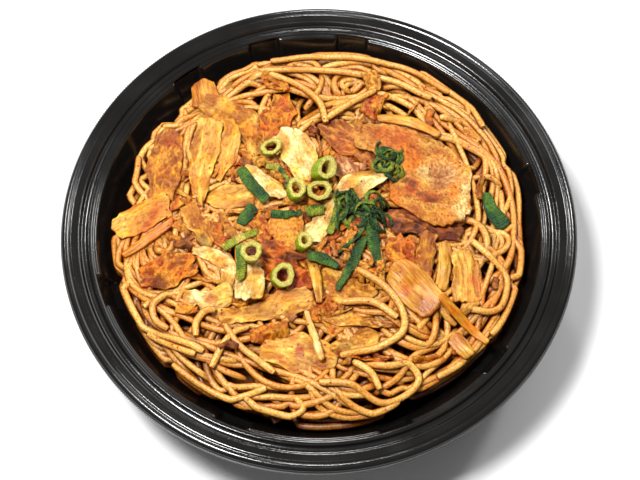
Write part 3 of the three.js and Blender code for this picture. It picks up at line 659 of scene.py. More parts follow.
# Wrinkles of a kind: form, height in millimetres, size in millimetres, seed step, and the shares of along
# and across that count, so that a small first share draws a wrinkle out along the slice.
STEM_WRINKLES = [(wave, 0.2, 1.2, 0, 0.3, 1), (wave, 0.5, 8, 0, 1, 1)]
WRINKLES = {
    "leaf": [
        (wave, 1.0, 6, 0, 1, 1), (ridge, 0.6, 3.2, 0, 0.45, 1), (ridge, 0.8, 6, 13, 1, 1),
        (ridge, 0.45, 1.5, 3, 1, 1), (wave, 0.2, 0.9, 17, 1, 1),
    ],
    "smooth": [(wave, 0.5, 9, 0, 1, 1), (ridge, 0.9, 4, 0, 0.2, 1), (ridge, 0.12, 1.6, 3, 1, 1)],
    "cream": [(wave, 0.8, 5, 0, 1, 1), (ridge, 0.7, 7, 13, 1, 1), (ridge, 0.3, 1.8, 3, 1, 1)],
    "kimchi": [(ridge, 1.5, 5, 0, 1, 1), (ridge, 1.0, 2.4, 5, 1, 1), (ridge, 0.5, 1.2, 8, 1, 1)],
    "meat": [(ridge, 1.1, 2.4, 0, 0.4, 1), (wave, 0.7, 1.6, 4, 1, 1), (ridge, 0.5, 1.2, 9, 1, 1)],
    "pork": [(wave, 0.9, 9, 0, 1, 1), (ridge, 0.6, 4, 2, 1, 0.7), (ridge, 0.35, 1.4, 6, 1, 1)],
    "green": [(wave, 0.3, 4, 0, 1, 1), (wave, 0.15, 1, 0, 1, 1)],
    "stem": STEM_WRINKLES,
    "rib": STEM_WRINKLES,
    "strip": STEM_WRINKLES,
}
SUNK = {"leaf": 0.8, "smooth": 0.5, "cream": 0.5, "kimchi": 1.2, "meat": 0.6, "pork": 0.3}
LEAF_VEIN_SLANT = 0.3
BLADE_RIB, BLADE_RIB_TURN = 0.12, 4.2


def slice_relief(kind, along, across, seed):
    """Height in millimetres of the wrinkles at a spot of a slice, measured along and across it."""
    height = -SUNK.get(kind, 0)
    for form, tall, size, step, along_share, across_share in WRINKLES[kind]:
        slant = LEAF_VEIN_SLANT * along if kind == "leaf" and step == 0 and form is ridge else 0
        height += tall * form(along * along_share, across * across_share + slant, size, seed + step)
    if kind == "green":
        height += BLADE_RIB * math.sin(along * BLADE_RIB_TURN)
    return height


CURL_HEIGHT = 1.8
CURL_SIZE = 7


def edge_curl(kind, share_across, along, seed):
    """How far a thin slice bends up or down toward its edge."""
    if kind not in ("leaf", "smooth", "cream", "kimchi"):
        return 0
    return CURL_HEIGHT * share_across**2 * wave(along, 4 * share_across, CURL_SIZE, seed + 50)


# %% Paint on the slices
# Factors on a slice's colour: painted shade in valleys and a painted highlight on crests.
PAINTED_VALLEY_SHADE = np.array([0.58, 0.38, 0.18])
PAINTED_CREST_HIGHLIGHT = np.array([1.16, 1.2, 1.16])
# Main colour, second colour, and patches: share along, share across, radius in millimetres, colour, strength.
PAINT = {
    "cabbage_stub_far": (BROWN_LEAF, GOLD_LEAF, [(0.5, 0, 3, PALE_LEAF, 0.7)]),
    "leaf_bed_far": (GOLD_LEAF, PALE_LEAF, [(0.7, 0, 5, ORANGE, 0.6)]),
    "leaf_bed_near": (GOLD_LEAF, PALE_LEAF, [(0.3, 0, 4, ORANGE, 0.5)]),
    "kimchi_far": (ORANGE, GOLD_LEAF, [(0.2, 0, 4, DEEP_ORANGE, 0.6), (0.8, 0.3, 4, RED, 0.5)]),
    "meat_left": (GOLD_LEAF, BROWN_LEAF, [(0.15, 0.3, 3, RED, 0.6), (0.6, 0, 4, ORANGE, 0.5)]),
    "leaf_left_rim": (ORANGE, GOLD_LEAF, [(0.2, 0.2, 4, DEEP_ORANGE, 0.7), (0.9, -0.4, 5, PALE_LEAF, 0.6)]),
    "rib_left": (ORANGE, GOLD_LEAF, []),
    "kimchi_left": (GOLD_LEAF, ORANGE, [(0.3, -0.7, 4, DARK_RED, 0.7), (0.6, 0.4, 4, BROWN_LEAF, 0.6)]),
    "leaf_brown_left": (GOLD_LEAF, PORK_PINK, [(0.9, -0.5, 3.5, OLIVE, 0.7)]),
    "leaf_vein_left": (GOLD_LEAF, PALE_LEAF, []),
    "leaf_pointed": (PALE_LEAF, GOLD_LEAF, [(0.1, -0.4, 5, PALE_LEAF, 0.7)]),
    "leaf_pointed_small": (PALE_LEAF, GOLD_LEAF, []),
    "meat_far": (PORK_PINK, BROWN_LEAF, [(0.3, 0.2, 3, RED, 0.4), (0.6, -0.3, 4, ORANGE, 0.6)]),
    "stem_far": (GOLD_LEAF, PALE_LEAF, []),
    "pork_far": (FAT, PALE_LEAF, [(0.2, -0.6, 4, ORANGE, 0.5)]),
    "pork_fat_left": (FAT, PALE_LEAF, [(0.9, 0.4, 3, ORANGE, 0.4)]),
    "meat_middle": (PORK_GREY, BROWN_LEAF, []),
    "meat_under_pork": (BROWN_LEAF, DEEP_BROWN, []),
    "pork_large": (PALE_LEAF, PORK_PINK, [
        (0.05, 0, 8, BROWN_LEAF, 0.8), (0.25, 0.2, 9, DEEP_ORANGE, 0.8), (0.42, -0.2, 8, ORANGE, 1),
        (0.3, -0.7, 5, DEEP_BROWN, 0.6), (0.66, 0.35, 7, PORK_GREY, 1), (0.66, -1, 6, ORANGE, 0.9),
        (0.66, -0.5, 4.5, DEEP_ORANGE, 1), (0.78, -0.3, 4, DEEP_ORANGE, 0.9), (0.82, 0.45, 4, ORANGE, 0.9),
        (0.82, 0.95, 5, FAT, 0.9), (1, 0.5, 5, FAT, 0.9), (0.97, -0.6, 6, GOLD_LEAF, 0.8),
        # After the cream spot at 0.58 along comes a row of small deep brown patches: a painted shadow along a fold.
        (0.58, 0, 3.4, FAT, 1), (0.58, -0.56, 1.7, DEEP_BROWN, 0.8), (0.63, -0.48, 1.7, DEEP_BROWN, 0.8),
        (0.68, -0.42, 1.7, DEEP_BROWN, 0.8), (0.73, -0.36, 1.7, DEEP_BROWN, 0.8),
        (0.78, -0.3, 1.7, DEEP_BROWN, 0.7), (0.83, -0.22, 1.5, DEEP_BROWN, 0.6),
    ]),
    "rib_far_right": (PALE_LEAF, GOLD_LEAF, [(0.6, 0.3, 3, ORANGE, 0.5)]),
    "pork_diagonal": (FAT, PALE_LEAF, [(0.0, 0, 7, FAT, 0.8), (0.6, 0, 6, ORANGE, 0.45)]),
    "pork_crumbly": (PORK_PINK, GOLD_LEAF, [(0.3, 0, 4, PORK_PINK, 0.5)]),
    "meat_shreds": (DEEP_BROWN, ORANGE, []),
    "kimchi_red": (DEEP_ORANGE, ORANGE, [(0.4, 0.3, 4, RED, 0.8), (0.8, -0.3, 3, RED, 0.6)]),
    "leaf_cream_bent": (CREAM, PALE_LEAF, [(0.5, -0.3, 3, ORANGE, 0.6)]),
    "leaf_cream_low": (CREAM, PALE_LEAF, [(0.6, 0, 3, DEEP_ORANGE, 0.6)]),
    "leaf_wide_near": (PALE_LEAF, GOLD_LEAF, [(0.8, 0.4, 4, ORANGE, 0.4)]),
    "stem_cream": (CREAM, PALE_LEAF, [(0.2, 0.5, 2, ORANGE, 0.4)]),
    "leaf_wedge": (GOLD_LEAF, PALE_LEAF, []),
    "leaf_stained_near": (PALE_LEAF, GOLD_LEAF, [
        (0.5, 0.1, 2.4, RED, 0.9), (0.25, -0.5, 2.5, DEEP_ORANGE, 0.8), (0.4, 0.8, 2, RED, 0.5),
        (0.6, -0.4, 4, CREAM, 0.5),
    ]),
    "leaf_brown_near": (GOLD_LEAF, PALE_LEAF, [(0.3, 0, 3, OLIVE, 0.5)]),
    "leaf_twisted_near": (GOLD_LEAF, PALE_LEAF, []),
    "strip_near": (PALE_LEAF, CREAM, []),
    "kimchi_right": (GOLD_LEAF, ORANGE, [(0.3, 0, 4, DEEP_ORANGE, 0.5)]),
    "leaf_fine_right": (GOLD_LEAF, BROWN_LEAF, []),
    "stem_strip_right": (PALE_LEAF, GOLD_LEAF, []),
    "leaf_square_right": (GOLD_LEAF, PALE_LEAF, [(0.4, 0, 4, PALE_LEAF, 0.7), (0.6, 0.8, 4, ORANGE, 0.8)]),
    "stem_round_right": (PALE_LEAF, GOLD_LEAF, [(0.45, -0.4, 3, DEEP_ORANGE, 0.8), (0.85, -0.4, 5, BROWN_LEAF, 0.6)]),
    "strip_orange_near": (GOLD_LEAF, ORANGE, []),
    "stem_pink_near": (PALE_LEAF, PORK_PINK, []),
    "green_light_middle": (LIGHT_GREEN, MID_GREEN, []),
}
PAINT["onion_stick"] = (LIGHT_GREEN, RING_PALE, [])
PAINT["onion_strip"] = (MID_GREEN, LIGHT_GREEN, [])
GREEN_PAINT = (DARK_GREEN, MID_GREEN, [])
CLOUD_SIZE, CLOUD_CONTRAST = 5, 1.6
PATCH_WOBBLE, PATCH_SOFT_EDGE = 1.5, 1.3
CREST_GAIN = 0.8


def paint_at(name, share, across, along_mm, across_mm, half, length, seed):
    """Colour of a slice at a spot: two colours in clouds, then its patches."""
    main, second, patches = PAINT.get(name, GREEN_PAINT)
    cloud = soft_step(0.5 + CLOUD_CONTRAST * wave(along_mm, across_mm, CLOUD_SIZE, seed + 11))
    colour = blend(main, second, cloud)
    for patch_share, patch_across, radius, patch_colour, strength in patches:
        away = math.hypot((share - patch_share) * length, (across - patch_across) * half)
        away += PATCH_WOBBLE * wave(along_mm, across_mm, 3, seed + 20)
        colour = blend(colour, patch_colour, strength * soft_step(PATCH_SOFT_EDGE - away / radius))
    return colour


def relief_shaded(colour, lift, lit_share=0.5):
    """A colour with painted shade in a valley and a painted highlight on a crest."""
    return colour * blend(PAINTED_VALLEY_SHADE, PAINTED_CREST_HIGHLIGHT, min(max(lit_share + CREST_GAIN * lift, 0), 1))


# %% Make one slice
SLICE_STEP = 0.6
END_BULGE = 0.35
END_REACH = 6
END_RAGGED, END_RAGGED_SIZE = 1.4, 2.5
FILLINGS, SMOOTHINGS = 40, 4
SINK_IN = 0.3
# How much of the wrinkles is left at the long edges and at the ends, and how fast the rest comes back.
EDGE_LEFT, EDGE_GAIN = 0.35, 2.5
END_LEFT, END_FADE = 0.5, 3
POCKET_CLEAR = 4
WALL_CLEAR = 1.5
TEAR, TEAR_LENGTH = 0.7, 5.5
TOOTH, TOOTH_LENGTH = 0.3, 2
NICK, NICK_LENGTH, NICK_START = 1.2, 4, 0.25


def jagged(way, spacing, seed):
    """Straight stretches between random corners a spacing apart."""
    spot = way / spacing
    corner = math.floor(spot)
    pushes = [noise.cell(Vector((corner + k + 0.5, 0.5, seed))) for k in (0, 1)]
    return pushes[0] + (pushes[1] - pushes[0]) * (spot - corner)


def torn(way, seed):
    """Push of a torn edge: straight tears, sharp nicks and small teeth."""
    nick = NICK * max(0, abs(wave(way, 0, NICK_LENGTH, seed + 2)) - NICK_START)
    return TEAR * jagged(way, TEAR_LENGTH, seed) - nick + TOOTH * jagged(way, TOOTH_LENGTH, seed + 4)


def headings(spots):
    """Unit steps ahead and to the left at each spot of a row."""
    ahead = np.gradient(spots, axis=0)
    ahead /= np.maximum(np.linalg.norm(ahead, axis=1), 0.01)[:, None]
    return ahead, np.column_stack([-ahead[:, 1], ahead[:, 0]])


def from_ends(count):
    """Steps from each spot of a row to its nearer end."""
    return np.minimum(np.arange(count), np.arange(count)[::-1])


def spread(values, count):
    """A few values spread evenly over a longer row."""
    return np.interp(np.linspace(0, 1, count), np.linspace(0, 1, len(values)), values)


def grid_points(points, rows, columns):
    """Each point of a new grid, with its row and its column."""
    for point in points:
        share_along, share_across = (point.co.y + 1) / 2, (point.co.x + 1) / 2
        yield point, int(round(share_along * (rows - 1))), int(round(share_across * (columns - 1)))


def thicken(body, faces, depth_of):
    """Close a skin to a thin body: a copy of it goes down by the millimetres that depth_of gives a point."""
    for part in bmesh.ops.extrude_face_region(body, geom=faces)["geom"]:
        if isinstance(part, bmesh.types.BMVert):
            part.co.z -= depth_of(part) * MM


def slice_spots(route, half_widths, fray, seed):
    """Plan of a slice as arrays of x, y, share along, share across, and its length."""
    spots, length = smooth_route(route, SLICE_STEP)
    ahead, side = headings(spots)
    half = spread(half_widths, len(spots))
    columns = 2 * max(3, int(round(max(half_widths) / SLICE_STEP)))
    across = np.linspace(-1, 1, columns + 1)
    reach = from_ends(len(spots))
    rows = []
    for i, spot in enumerate(spots):
        way = i * SLICE_STEP
        left, right = (1 + fray / half[i] * torn(way, side_seed) for side_seed in (seed + 31, seed + 67))
        stretch = np.where(across < 0, left, right) * half[i]
        end_share = max(0, 1 - reach[i] / END_REACH) * (1 if i > len(spots) / 2 else -1)
        ragged = np.array([wave(a * half[i], 3, END_RAGGED_SIZE, seed + end_share) for a in across])
        bulge = end_share * (END_BULGE * half[i] * (1 - across**2) + END_RAGGED * fray * ragged)
        rows.append(spot + side[i] * (across * stretch)[:, None] + ahead[i] * bulge[:, None])
    plan = np.array(rows)
    distance = np.linalg.norm(plan, axis=2)
    plan *= np.minimum(1, (wall_radius(RIM_HEIGHT - POCKET_CLEAR) - WALL_CLEAR) / distance)[:, :, None]
    return plan, np.linspace(0, 1, len(spots)), across, half, length


def neighbours(heights):
    """The four neighbours of every spot of a grid, stacked."""
    padded = np.pad(heights, 1, mode="edge")
    return np.stack([padded[:-2, 1:-1], padded[2:, 1:-1], padded[1:-1, :-2], padded[1:-1, 2:]])


def filled(heights):
    """Heights with the empty spots filled from their neighbours, then smoothed."""
    known = ~np.isnan(heights)
    filling = np.where(known, heights, np.nanmean(heights))
    for _ in range(FILLINGS):
        filling = np.where(known, filling, neighbours(filling).mean(axis=0))
    for _ in range(SMOOTHINGS):
        filling = 0.4 * filling + 0.6 * neighbours(filling).mean(axis=0)
    return filling


def slice_mesh(name, kind, route, half_widths, seed):
    """A thin wrinkled slice that lies where its solid lies."""
    thick, edge, fray, lit_share, _ = KINDS[kind]
    plan, share, across, half, length = slice_spots(route, half_widths, fray, seed)
    surface = surface_of(name)
    tops = filled(np.array([[height_on(surface, x, y) or np.nan for x, y in row] for row in plan], float))
    body = bmesh.new()
    rows, columns = plan.shape[:2]
    bmesh.ops.create_grid(body, x_segments=columns - 1, y_segments=rows - 1, size=1)
    paint, grain_layer = paint_layers(body)
    depth_layer = body.verts.layers.float.new("depth")
    for point, i, j in grid_points(body.verts, rows, columns):
        along, aside = share[i] * length, across[j] * half[i]
        edge_fade = min(1, EDGE_LEFT + EDGE_GAIN * (1 - abs(across[j])))
        end_fade = min(1, END_LEFT + min(share[i], 1 - share[i]) * length / END_FADE)
        lift = slice_relief(kind, along, aside, seed) * edge_fade * end_fade
        lift += edge_curl(kind, across[j], along, seed)
        point.co = Vector((*plan[i, j], tops[i, j] + lift - SINK_IN)) * MM
        colour = paint_at(name, share[i], across[j], along, aside, half[i], length, seed)
        # The paint gets painted shade in valleys and a painted highlight on crests.
        point[paint] = solid(relief_shaded(colour, lift, lit_share))
        point[grain_layer] = (along, aside, seed)
        point[depth_layer] = edge + (thick - edge) * (1 - across[j] ** 2)
    thicken(body, body.faces[:], lambda point: point[depth_layer])
    return finished_mesh(body, name)


# %% Slices from the lowest to the highest
SLICES = [
    ("cabbage_stub_far", "stem", [(-48, 65), (-46, 56)], [5, 6]),
    ("leaf_bed_far", "leaf", [(-46, 53), (-32, 47), (-23, 31)], [5, 7, 5]),
    ("leaf_bed_near", "leaf", [(0, -24), (9, -30), (20, -33)], [5, 6.5, 4]),
    ("kimchi_far", "kimchi", [(-14, 56), (-17, 44), (-20, 34)], [5, 7, 5]),
    ("meat_left", "meat", [(-61, 41), (-62, 26), (-63, 11)], [5, 7.5, 6]),
    ("leaf_left_rim", "smooth", [(-60, 7), (-69, 4), (-80, -1)], [4.5, 6.5, 5.5]),
    ("rib_left", "rib", [(-58, 0), (-67, -6), (-77, -13)], [1.5, 2, 1.5]),
    ("kimchi_left", "kimchi", [(-69, -22), (-60, -21), (-50, -18)], [5, 8, 6]),
    ("leaf_brown_left", "leaf", [(-52, 7), (-47, -2), (-43, -10)], [3.5, 5, 3]),
    ("leaf_vein_left", "smooth", [(-43, 9), (-36, 10), (-27, 11)], [3.5, 5.5, 4.5]),
    ("leaf_pointed", "smooth", [(-44, 45), (-46, 31), (-47, 19), (-46, 6)], [5.5, 6.5, 4.5, 1]),
    ("leaf_pointed_small", "smooth", [(-35, 42), (-36, 30), (-40, 17)], [3.5, 4.5, 1]),
    ("meat_far", "meat", [(3, 42), (13, 35), (22, 29)], [5.5, 7.5, 5]),
    ("stem_far", "rib", [(1, 52), (6, 53), (12, 55)], [1.5, 2, 1.5]),
    ("pork_far", "cream", [(-14, 37), (-8, 29), (-5, 18)], [5, 7.5, 5]),
    ("pork_fat_left", "cream", [(-28, 21), (-22, 16), (-14, 10)], [3.5, 5, 3]),
    ("meat_middle", "meat", [(8, 25), (11, 20), (13, 14)], [3.5, 4.5, 3]),
    ("meat_under_pork", "meat", [(27, 1), (41, -3), (56, -6)], [4.5, 5, 3]),
    ("pork_large", "pork", [(18, 38), (36, 30), (46, 14), (53, 1)], [6, 10, 18.5, 9]),
    ("rib_far_right", "rib", [(24, 47), (37, 45), (48, 38)], [1.5, 2.5, 2]),
    ("pork_diagonal", "cream", [(-4, -9), (5, 2), (15, 13), (25, 19)], [4.5, 4.5, 5.5, 3.5]),
    ("pork_crumbly", "pork", [(-14, -2), (-12, -10), (-11, -16)], [7, 5.5, 2]),
    ("meat_shreds", "meat", [(-28, -13), (-18, -16), (-8, -19)], [3.5, 4.5, 3.5]),
    ("kimchi_red", "kimchi", [(-20, -22), (-12, -27), (-5, -30)], [3.5, 5.5, 4]),
    ("leaf_cream_bent", "cream", [(-49, -13), (-41, -15), (-35, -20), (-36, -29)], [2, 3, 3.5, 2]),
    ("leaf_cream_low", "cream", [(-53, -30), (-44, -33), (-35, -33)], [1.5, 4, 5]),
    ("leaf_wide_near", "smooth", [(-38, -42), (-26, -40), (-15, -37), (-4, -35)], [3, 3.5, 5, 4.5]),
    ("stem_cream", "cream", [(-27, -21), (-27, -28), (-27, -35)], [5, 6, 6]),
    ("leaf_wedge", "strip", [(-3, -19), (-1, -28), (0, -37)], [2, 2, 1]),
    ("leaf_stained_near", "smooth", [(-21, -54), (-8, -56), (6, -58)], [4, 8.5, 4]),
    ("leaf_brown_near", "leaf", [(6, -55), (13, -52), (21, -49)], [3.5, 4.5, 4.5]),
    ("leaf_twisted_near", "leaf", [(1, -42), (12, -43), (27, -45)], [1.5, 3, 1]),
    ("strip_near", "strip", [(-5, -41), (-2, -50), (1, -59)], [1, 1.5, 1.5]),
    ("kimchi_right", "kimchi", [(32, -9), (32, -15), (32, -21)], [5.5, 6.5, 5.5]),
    ("leaf_fine_right", "leaf", [(43, -7), (42, -14), (41, -22)], [3.5, 4.5, 3.5]),
    ("stem_strip_right", "rib", [(49, -11), (49, -20), (47, -29)], [2.5, 2.5, 2.5]),
    ("leaf_square_right", "smooth", [(56, -14), (57, -23), (57, -33)], [5, 6, 5.5]),
    ("stem_round_right", "stem", [(30, -23), (37, -30), (44, -37)], [5.5, 7.5, 6]),
    ("strip_orange_near", "strip", [(47, -35), (53, -40), (60, -46), (65, -50)], [2, 2, 1.5, 1]),
    ("stem_pink_near", "stem", [(52, -48), (55, -52), (58, -55)], [3, 3.5, 2.5]),
    ("green_light_middle", "green", [(9, 6), (7, -1), (4, -8)], [2, 2, 1.5]),
    ("green_tuft_middle", "green", [(7, -1), (16, 3), (25, 1)], [3, 4.5, 2.5]),
    ("green_curl_far", "green", [(26, 30), (27, 23), (26, 16)], [4, 4.5, 3.5]),
    ("green_blade_middle", "green", [(20, -2), (21, -11), (23, -19)], [2.5, 2.5, 1.5]),
    ("green_blade_long", "green", [(17, -10), (13, -20), (7, -31)], [2, 2, 1]),
    ("green_blade_short", "green", [(-4, -18), (1, -19), (7, -22)], [2.5, 2.5, 1.5]),
    ("green_blade_left", "green", [(-31, 20), (-27, 14), (-21, 7)], [2, 2.5, 2]),
    ("green_patch_left", "green", [(-26, 5), (-28, 2), (-31, -2)], [2.5, 2.5, 2]),
    ("green_blade_right", "green", [(67, 14), (69, 7), (73, 0)], [2, 3, 3.5]),
    ("onion_stick", "green", [(-37, -13), (-32, -9), (-24, -5)], [1.5, 1.5, 1.5]),
    ("onion_strip", "green", [(-30, -15), (-30, -22), (-30, -29)], [2, 2, 1.5]),
]

# These two are knots of curled blades: a later step makes them.
CURLED = {
    "green_curl_far": {"middle": (27, 23), "reach": (4, 6.5), "blades": 16, "turn": (0.3, 0.6)},
    "green_tuft_middle": {"middle": (16, 2), "reach": (9, 4), "blades": 26, "turn": (0.08, 0.45)},
}


def slot_of(name, kind):
    """Pork and stem keep their slot whatever their wrinkles are."""
    if name.startswith("pork"):
        return "pork"
    if name.startswith("stem"):
        return "cabbage_stem"
    return KINDS[kind][-1]


slice_faces = 0
for order, (name, kind, route, half_widths) in enumerate(SLICES):
    if name in CURLED:
        continue
    mesh = slice_mesh(name, kind, route, half_widths, 1.7 * order)
    slice_faces += count_faces(mesh)
    place_piece("food_" + name, mesh, FINISH[kind], slot_of(name, kind), name)
print("slices:", len(SLICES), "with", slice_faces, "triangles")

# %% [markdown]
# ## Cut rings of green onion
# A cut onion leaf is a short tube with a wall about two millimetres thick, green outside and pale inside. Its
# rounded section is spun, squashed a little, tilted and turned, and set in the middle of its solid.

# %% Onion rings
RING_WALL = 2.2
RING_STEPS = 56
RINGS = [
    ("onion_ring_far", 4.5, 3, 0.7, 20, 12),
    ("onion_roll", 4.8, 7, 0.85, 60, 30),
    ("onion_ring_middle", 4.8, 4, 0.85, 10, 25),
    ("onion_half", 4.6, 4, 0.8, 100, 15),
    ("onion_ring_low", 3.8, 4, 0.75, 90, 20),
    ("onion_ring_tall", 4.4, 5, 0.85, 15, 18),
    ("onion_ring_dark", 4.8, 4, 0.9, 40, 22),
]


def ring_mesh(name, centre, radius, height, squash, turn, tilt, seed):
    """An onion ring about a centre, in millimetres."""
    inner, half, round_off = radius - RING_WALL, height / 2, 0.3
    section = [
        (inner, -half + round_off), (inner + round_off, -half), (radius - round_off, -half),
        (radius, -half + round_off), (radius, 0), (radius, half - round_off), (radius - round_off, half),
        (radius - RING_WALL * 0.3, half - 0.25), (radius - RING_WALL * 0.42, half),
        (radius - RING_WALL * 0.6, half - 0.3), (radius - RING_WALL * 0.75, half - 0.05),
        (inner + round_off, half - 0.4), (inner, half - round_off - 0.4), (inner, 0), (inner, -half + round_off),
    ]
    body = spun(section, RING_STEPS)
    paint, grain_layer = paint_layers(body)
    for point in body.verts:
        out = math.hypot(point.co.x, point.co.y) / MM
        angle = math.atan2(point.co.y, point.co.x)
        green = soft_step((out - inner) / RING_WALL * 3 - 2) + 0.25 * soft_step(math.sin(7 * out))
        point[paint] = solid(blend(RING_PALE, LIGHT_GREEN, green))
        point[grain_layer] = (angle * radius, point.co.z / MM + out, seed)
        swell = 1 + 0.06 * math.sin(2 * angle + seed) + 0.04 * math.sin(3 * angle) + 0.03 * math.sin(7 * angle + seed)
        point.co.x *= swell
        point.co.y *= swell * squash
    bmesh.ops.rotate(body, verts=body.verts, matrix=Matrix.Rotation(math.radians(tilt), 3, "X"))
    bmesh.ops.rotate(body, verts=body.verts, matrix=Matrix.Rotation(math.radians(turn), 3, "Z"))
    bmesh.ops.translate(body, verts=body.verts, vec=centre)
    return finished_mesh(body, name)


for order, (name, radius, height, squash, turn, tilt) in enumerate(RINGS):
    low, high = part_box(name)
    mesh = ring_mesh(name, (low + high) / 2, radius, height, squash, turn, tilt, order)
    place_piece("cut_" + name, mesh, FINISH["ring"], "onion_ring", name)
print("onion rings:", len(RINGS))

# %% [markdown]
# ## The noodles
# A heap of noodles is best made as it happens: strand after strand falls onto what lies there already. A
# height map of the plan holds the top of the heap. Each strand finds the highest place under it, bridges the
# dips as a soft thing does, and then raises the map. Under a slice it stays below the slice.

# %% Shape of the heap
DOME_REACH, DOME_EDGE, DOME_RISE, DOME_POWER = 84, 36, 11, 0.9
EDGE_RADII = (
    80.5, 83, 83.5, 83.5, 83.5, 83.5, 83, 81, 82.5, 80, 82, 77.5, 82.5, 82, 81.5, 82, 81.5, 81, 82, 82, 79, 80,
    82.5, 82,
)
CELL = 0.5
REACH = 96
SIDE = int(2 * REACH / CELL) + 1

axis = np.arange(SIDE) * CELL - REACH
PLAN_X, PLAN_Y = np.meshgrid(axis, axis, indexing="ij")
PLAN_OUT = np.hypot(PLAN_X, PLAN_Y)


def edge_radius(x, y):
    """Radius of the heap's edge in the direction of a place."""
    steps = len(EDGE_RADII)
    turn = (np.arctan2(y, x) / (2 * math.pi) * steps) % steps
    start = np.floor(turn).astype(int) % steps
    ease = (1 - np.cos((turn - np.floor(turn)) * math.pi)) / 2
    radii = np.array(EDGE_RADII, float)
    return blend(radii[start], radii[(start + 1) % steps], ease)


def heap_height(x, y):
    out = np.clip(np.hypot(x, y) / DOME_REACH, 0, 1)
    lumps = 0.8 * np.sin(x / 9 + 1) * np.sin(y / 8 + 2) + 0.5 * np.sin((x - y) / 6)
    return DOME_EDGE + DOME_RISE * (1 - out**2) ** DOME_POWER + lumps


HEAP_TOP = heap_height(PLAN_X, PLAN_Y)
HEAP_EDGE = edge_radius(PLAN_X, PLAN_Y)
print("heap from", DOME_EDGE, "to", round(float(HEAP_TOP.max()), 1), "mm high")

# %% Ceiling under the slices and rings
def cell(value):
    return np.clip(np.round((np.asarray(value) + REACH) / CELL).astype(int), 0, SIDE - 1)


ceiling = np.full((SIDE, SIDE), np.inf)
covers = np.full((SIDE, SIDE), -np.inf)
for name in [row[0] for row in SLICES] + [row[0] for row in RINGS]:
    low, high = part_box(name)
    surface = surface_of(name)
    for i in range(cell(low.x / MM), cell(high.x / MM) + 1):
        for j in range(cell(low.y / MM), cell(high.y / MM) + 1):
            under = height_on(surface, axis[i], axis[j], downward=False)
            if under:
                ceiling[i, j] = min(ceiling[i, j], under)
            if under and name not in CURLED:
                covers[i, j] = max(covers[i, j], height_on(surface, axis[i], axis[j]))
print("plan under slices:", round(float(np.isfinite(ceiling).mean() * (2 * REACH) ** 2 / 100)), "square cm")

# %% Laying one strand
STRAND_STEP = 1.0
BRIDGE = 0.022
BRIDGE_REACH = 14
SINK = 0.25
FOOT = [(i, j) for i in range(-4, 5) for j in range(-4, 5)]


def footprint(spots, radius):
    """Cells under a strand, and how far the strand's surface is above or below its middle there."""
    i = cell(spots[:, 0])[:, None] + np.array([step[0] for step in FOOT])[None]
    j = cell(spots[:, 1])[:, None] + np.array([step[1] for step in FOOT])[None]
    i, j = np.clip(i, 0, SIDE - 1), np.clip(j, 0, SIDE - 1)
    away = np.hypot(axis[i] - spots[:, 0:1], axis[j] - spots[:, 1:2])
    reach = np.sqrt(np.maximum(radius**2 - away**2, 0))
    return i, j, reach, away < radius


def bridged(heights):
    """The lowest line over all heights that bends no more than a noodle does."""
    padded = np.pad(heights, BRIDGE_REACH, mode="edge")
    over = [
        padded[BRIDGE_REACH + k:BRIDGE_REACH + k + len(heights)] - BRIDGE * (k * STRAND_STEP) ** 2
        for k in range(-BRIDGE_REACH, BRIDGE_REACH + 1)
    ]
    line = np.max(over, axis=0)
    for _ in range(2):
        eased = np.pad(line, 2, mode="edge")
        line = (eased[:-4] + 2 * eased[1:-3] + 3 * eased[2:-2] + 2 * eased[3:-1] + eased[4:]) / 9
    return line


held = []


def lay_strand(heap, spots, radius, lid):
    """Heights of a strand's middle line on the heap, which it then raises."""
    i, j, reach, under = footprint(spots, radius)
    rest = np.where(under, heap[i, j] + reach, -np.inf).max(axis=1) - SINK
    line = bridged(rest)
    roof = np.where(under, lid[i, j] - reach, np.inf).min(axis=1)
    held.append(float((roof < line).mean()))
    line = np.minimum(line, -bridged(-roof))
    np.maximum.at(heap, (i[under], j[under]), (line[:, None] + reach)[under])
    return line


# %% Routes of the strands
random = np.random.default_rng(11)
EDGE_ROOM = 0.8
NOTCH = 5.5
NOTCH_SIZE = 11
NOTCH_SHARPNESS = 2.6
NOTCH_CIRCLE = 85
NOTCH_SEED = 3.7
NOTCHES = []
for turn in np.radians(np.arange(361)):
    push = wave(NOTCH_CIRCLE * math.cos(turn), NOTCH_CIRCLE * math.sin(turn), NOTCH_SIZE, NOTCH_SEED)
    NOTCHES.append(NOTCH * min(max(NOTCH_SHARPNESS * push, 0), 1))
TURN_ROOM = 13
TIGHTEST_TURN = 7
SPREAD = 0.9
DRIFT = 0.022
BEND, BEND_KEPT = 0.011, 0.96
FOLLOW_FROM = 30
CURL_START = 0.35
SWAY, SWAY_LENGTH = 1.2, (14, 30)


def notch_depth(x, y):
    """How far the strands stay back from the heap's smooth edge: it has notches all round."""
    return np.interp(np.degrees(np.arctan2(y, x)) % 360, np.arange(361), NOTCHES)


def kept_inside(spots):
    """Spots pulled back inside the heap's edge."""
    limit = edge_radius(spots[:, 0], spots[:, 1]) - EDGE_ROOM - notch_depth(spots[:, 0], spots[:, 1])
    out = np.hypot(spots[:, 0], spots[:, 1])
    return spots * np.minimum(1, limit / np.maximum(out, 1))[:, None]


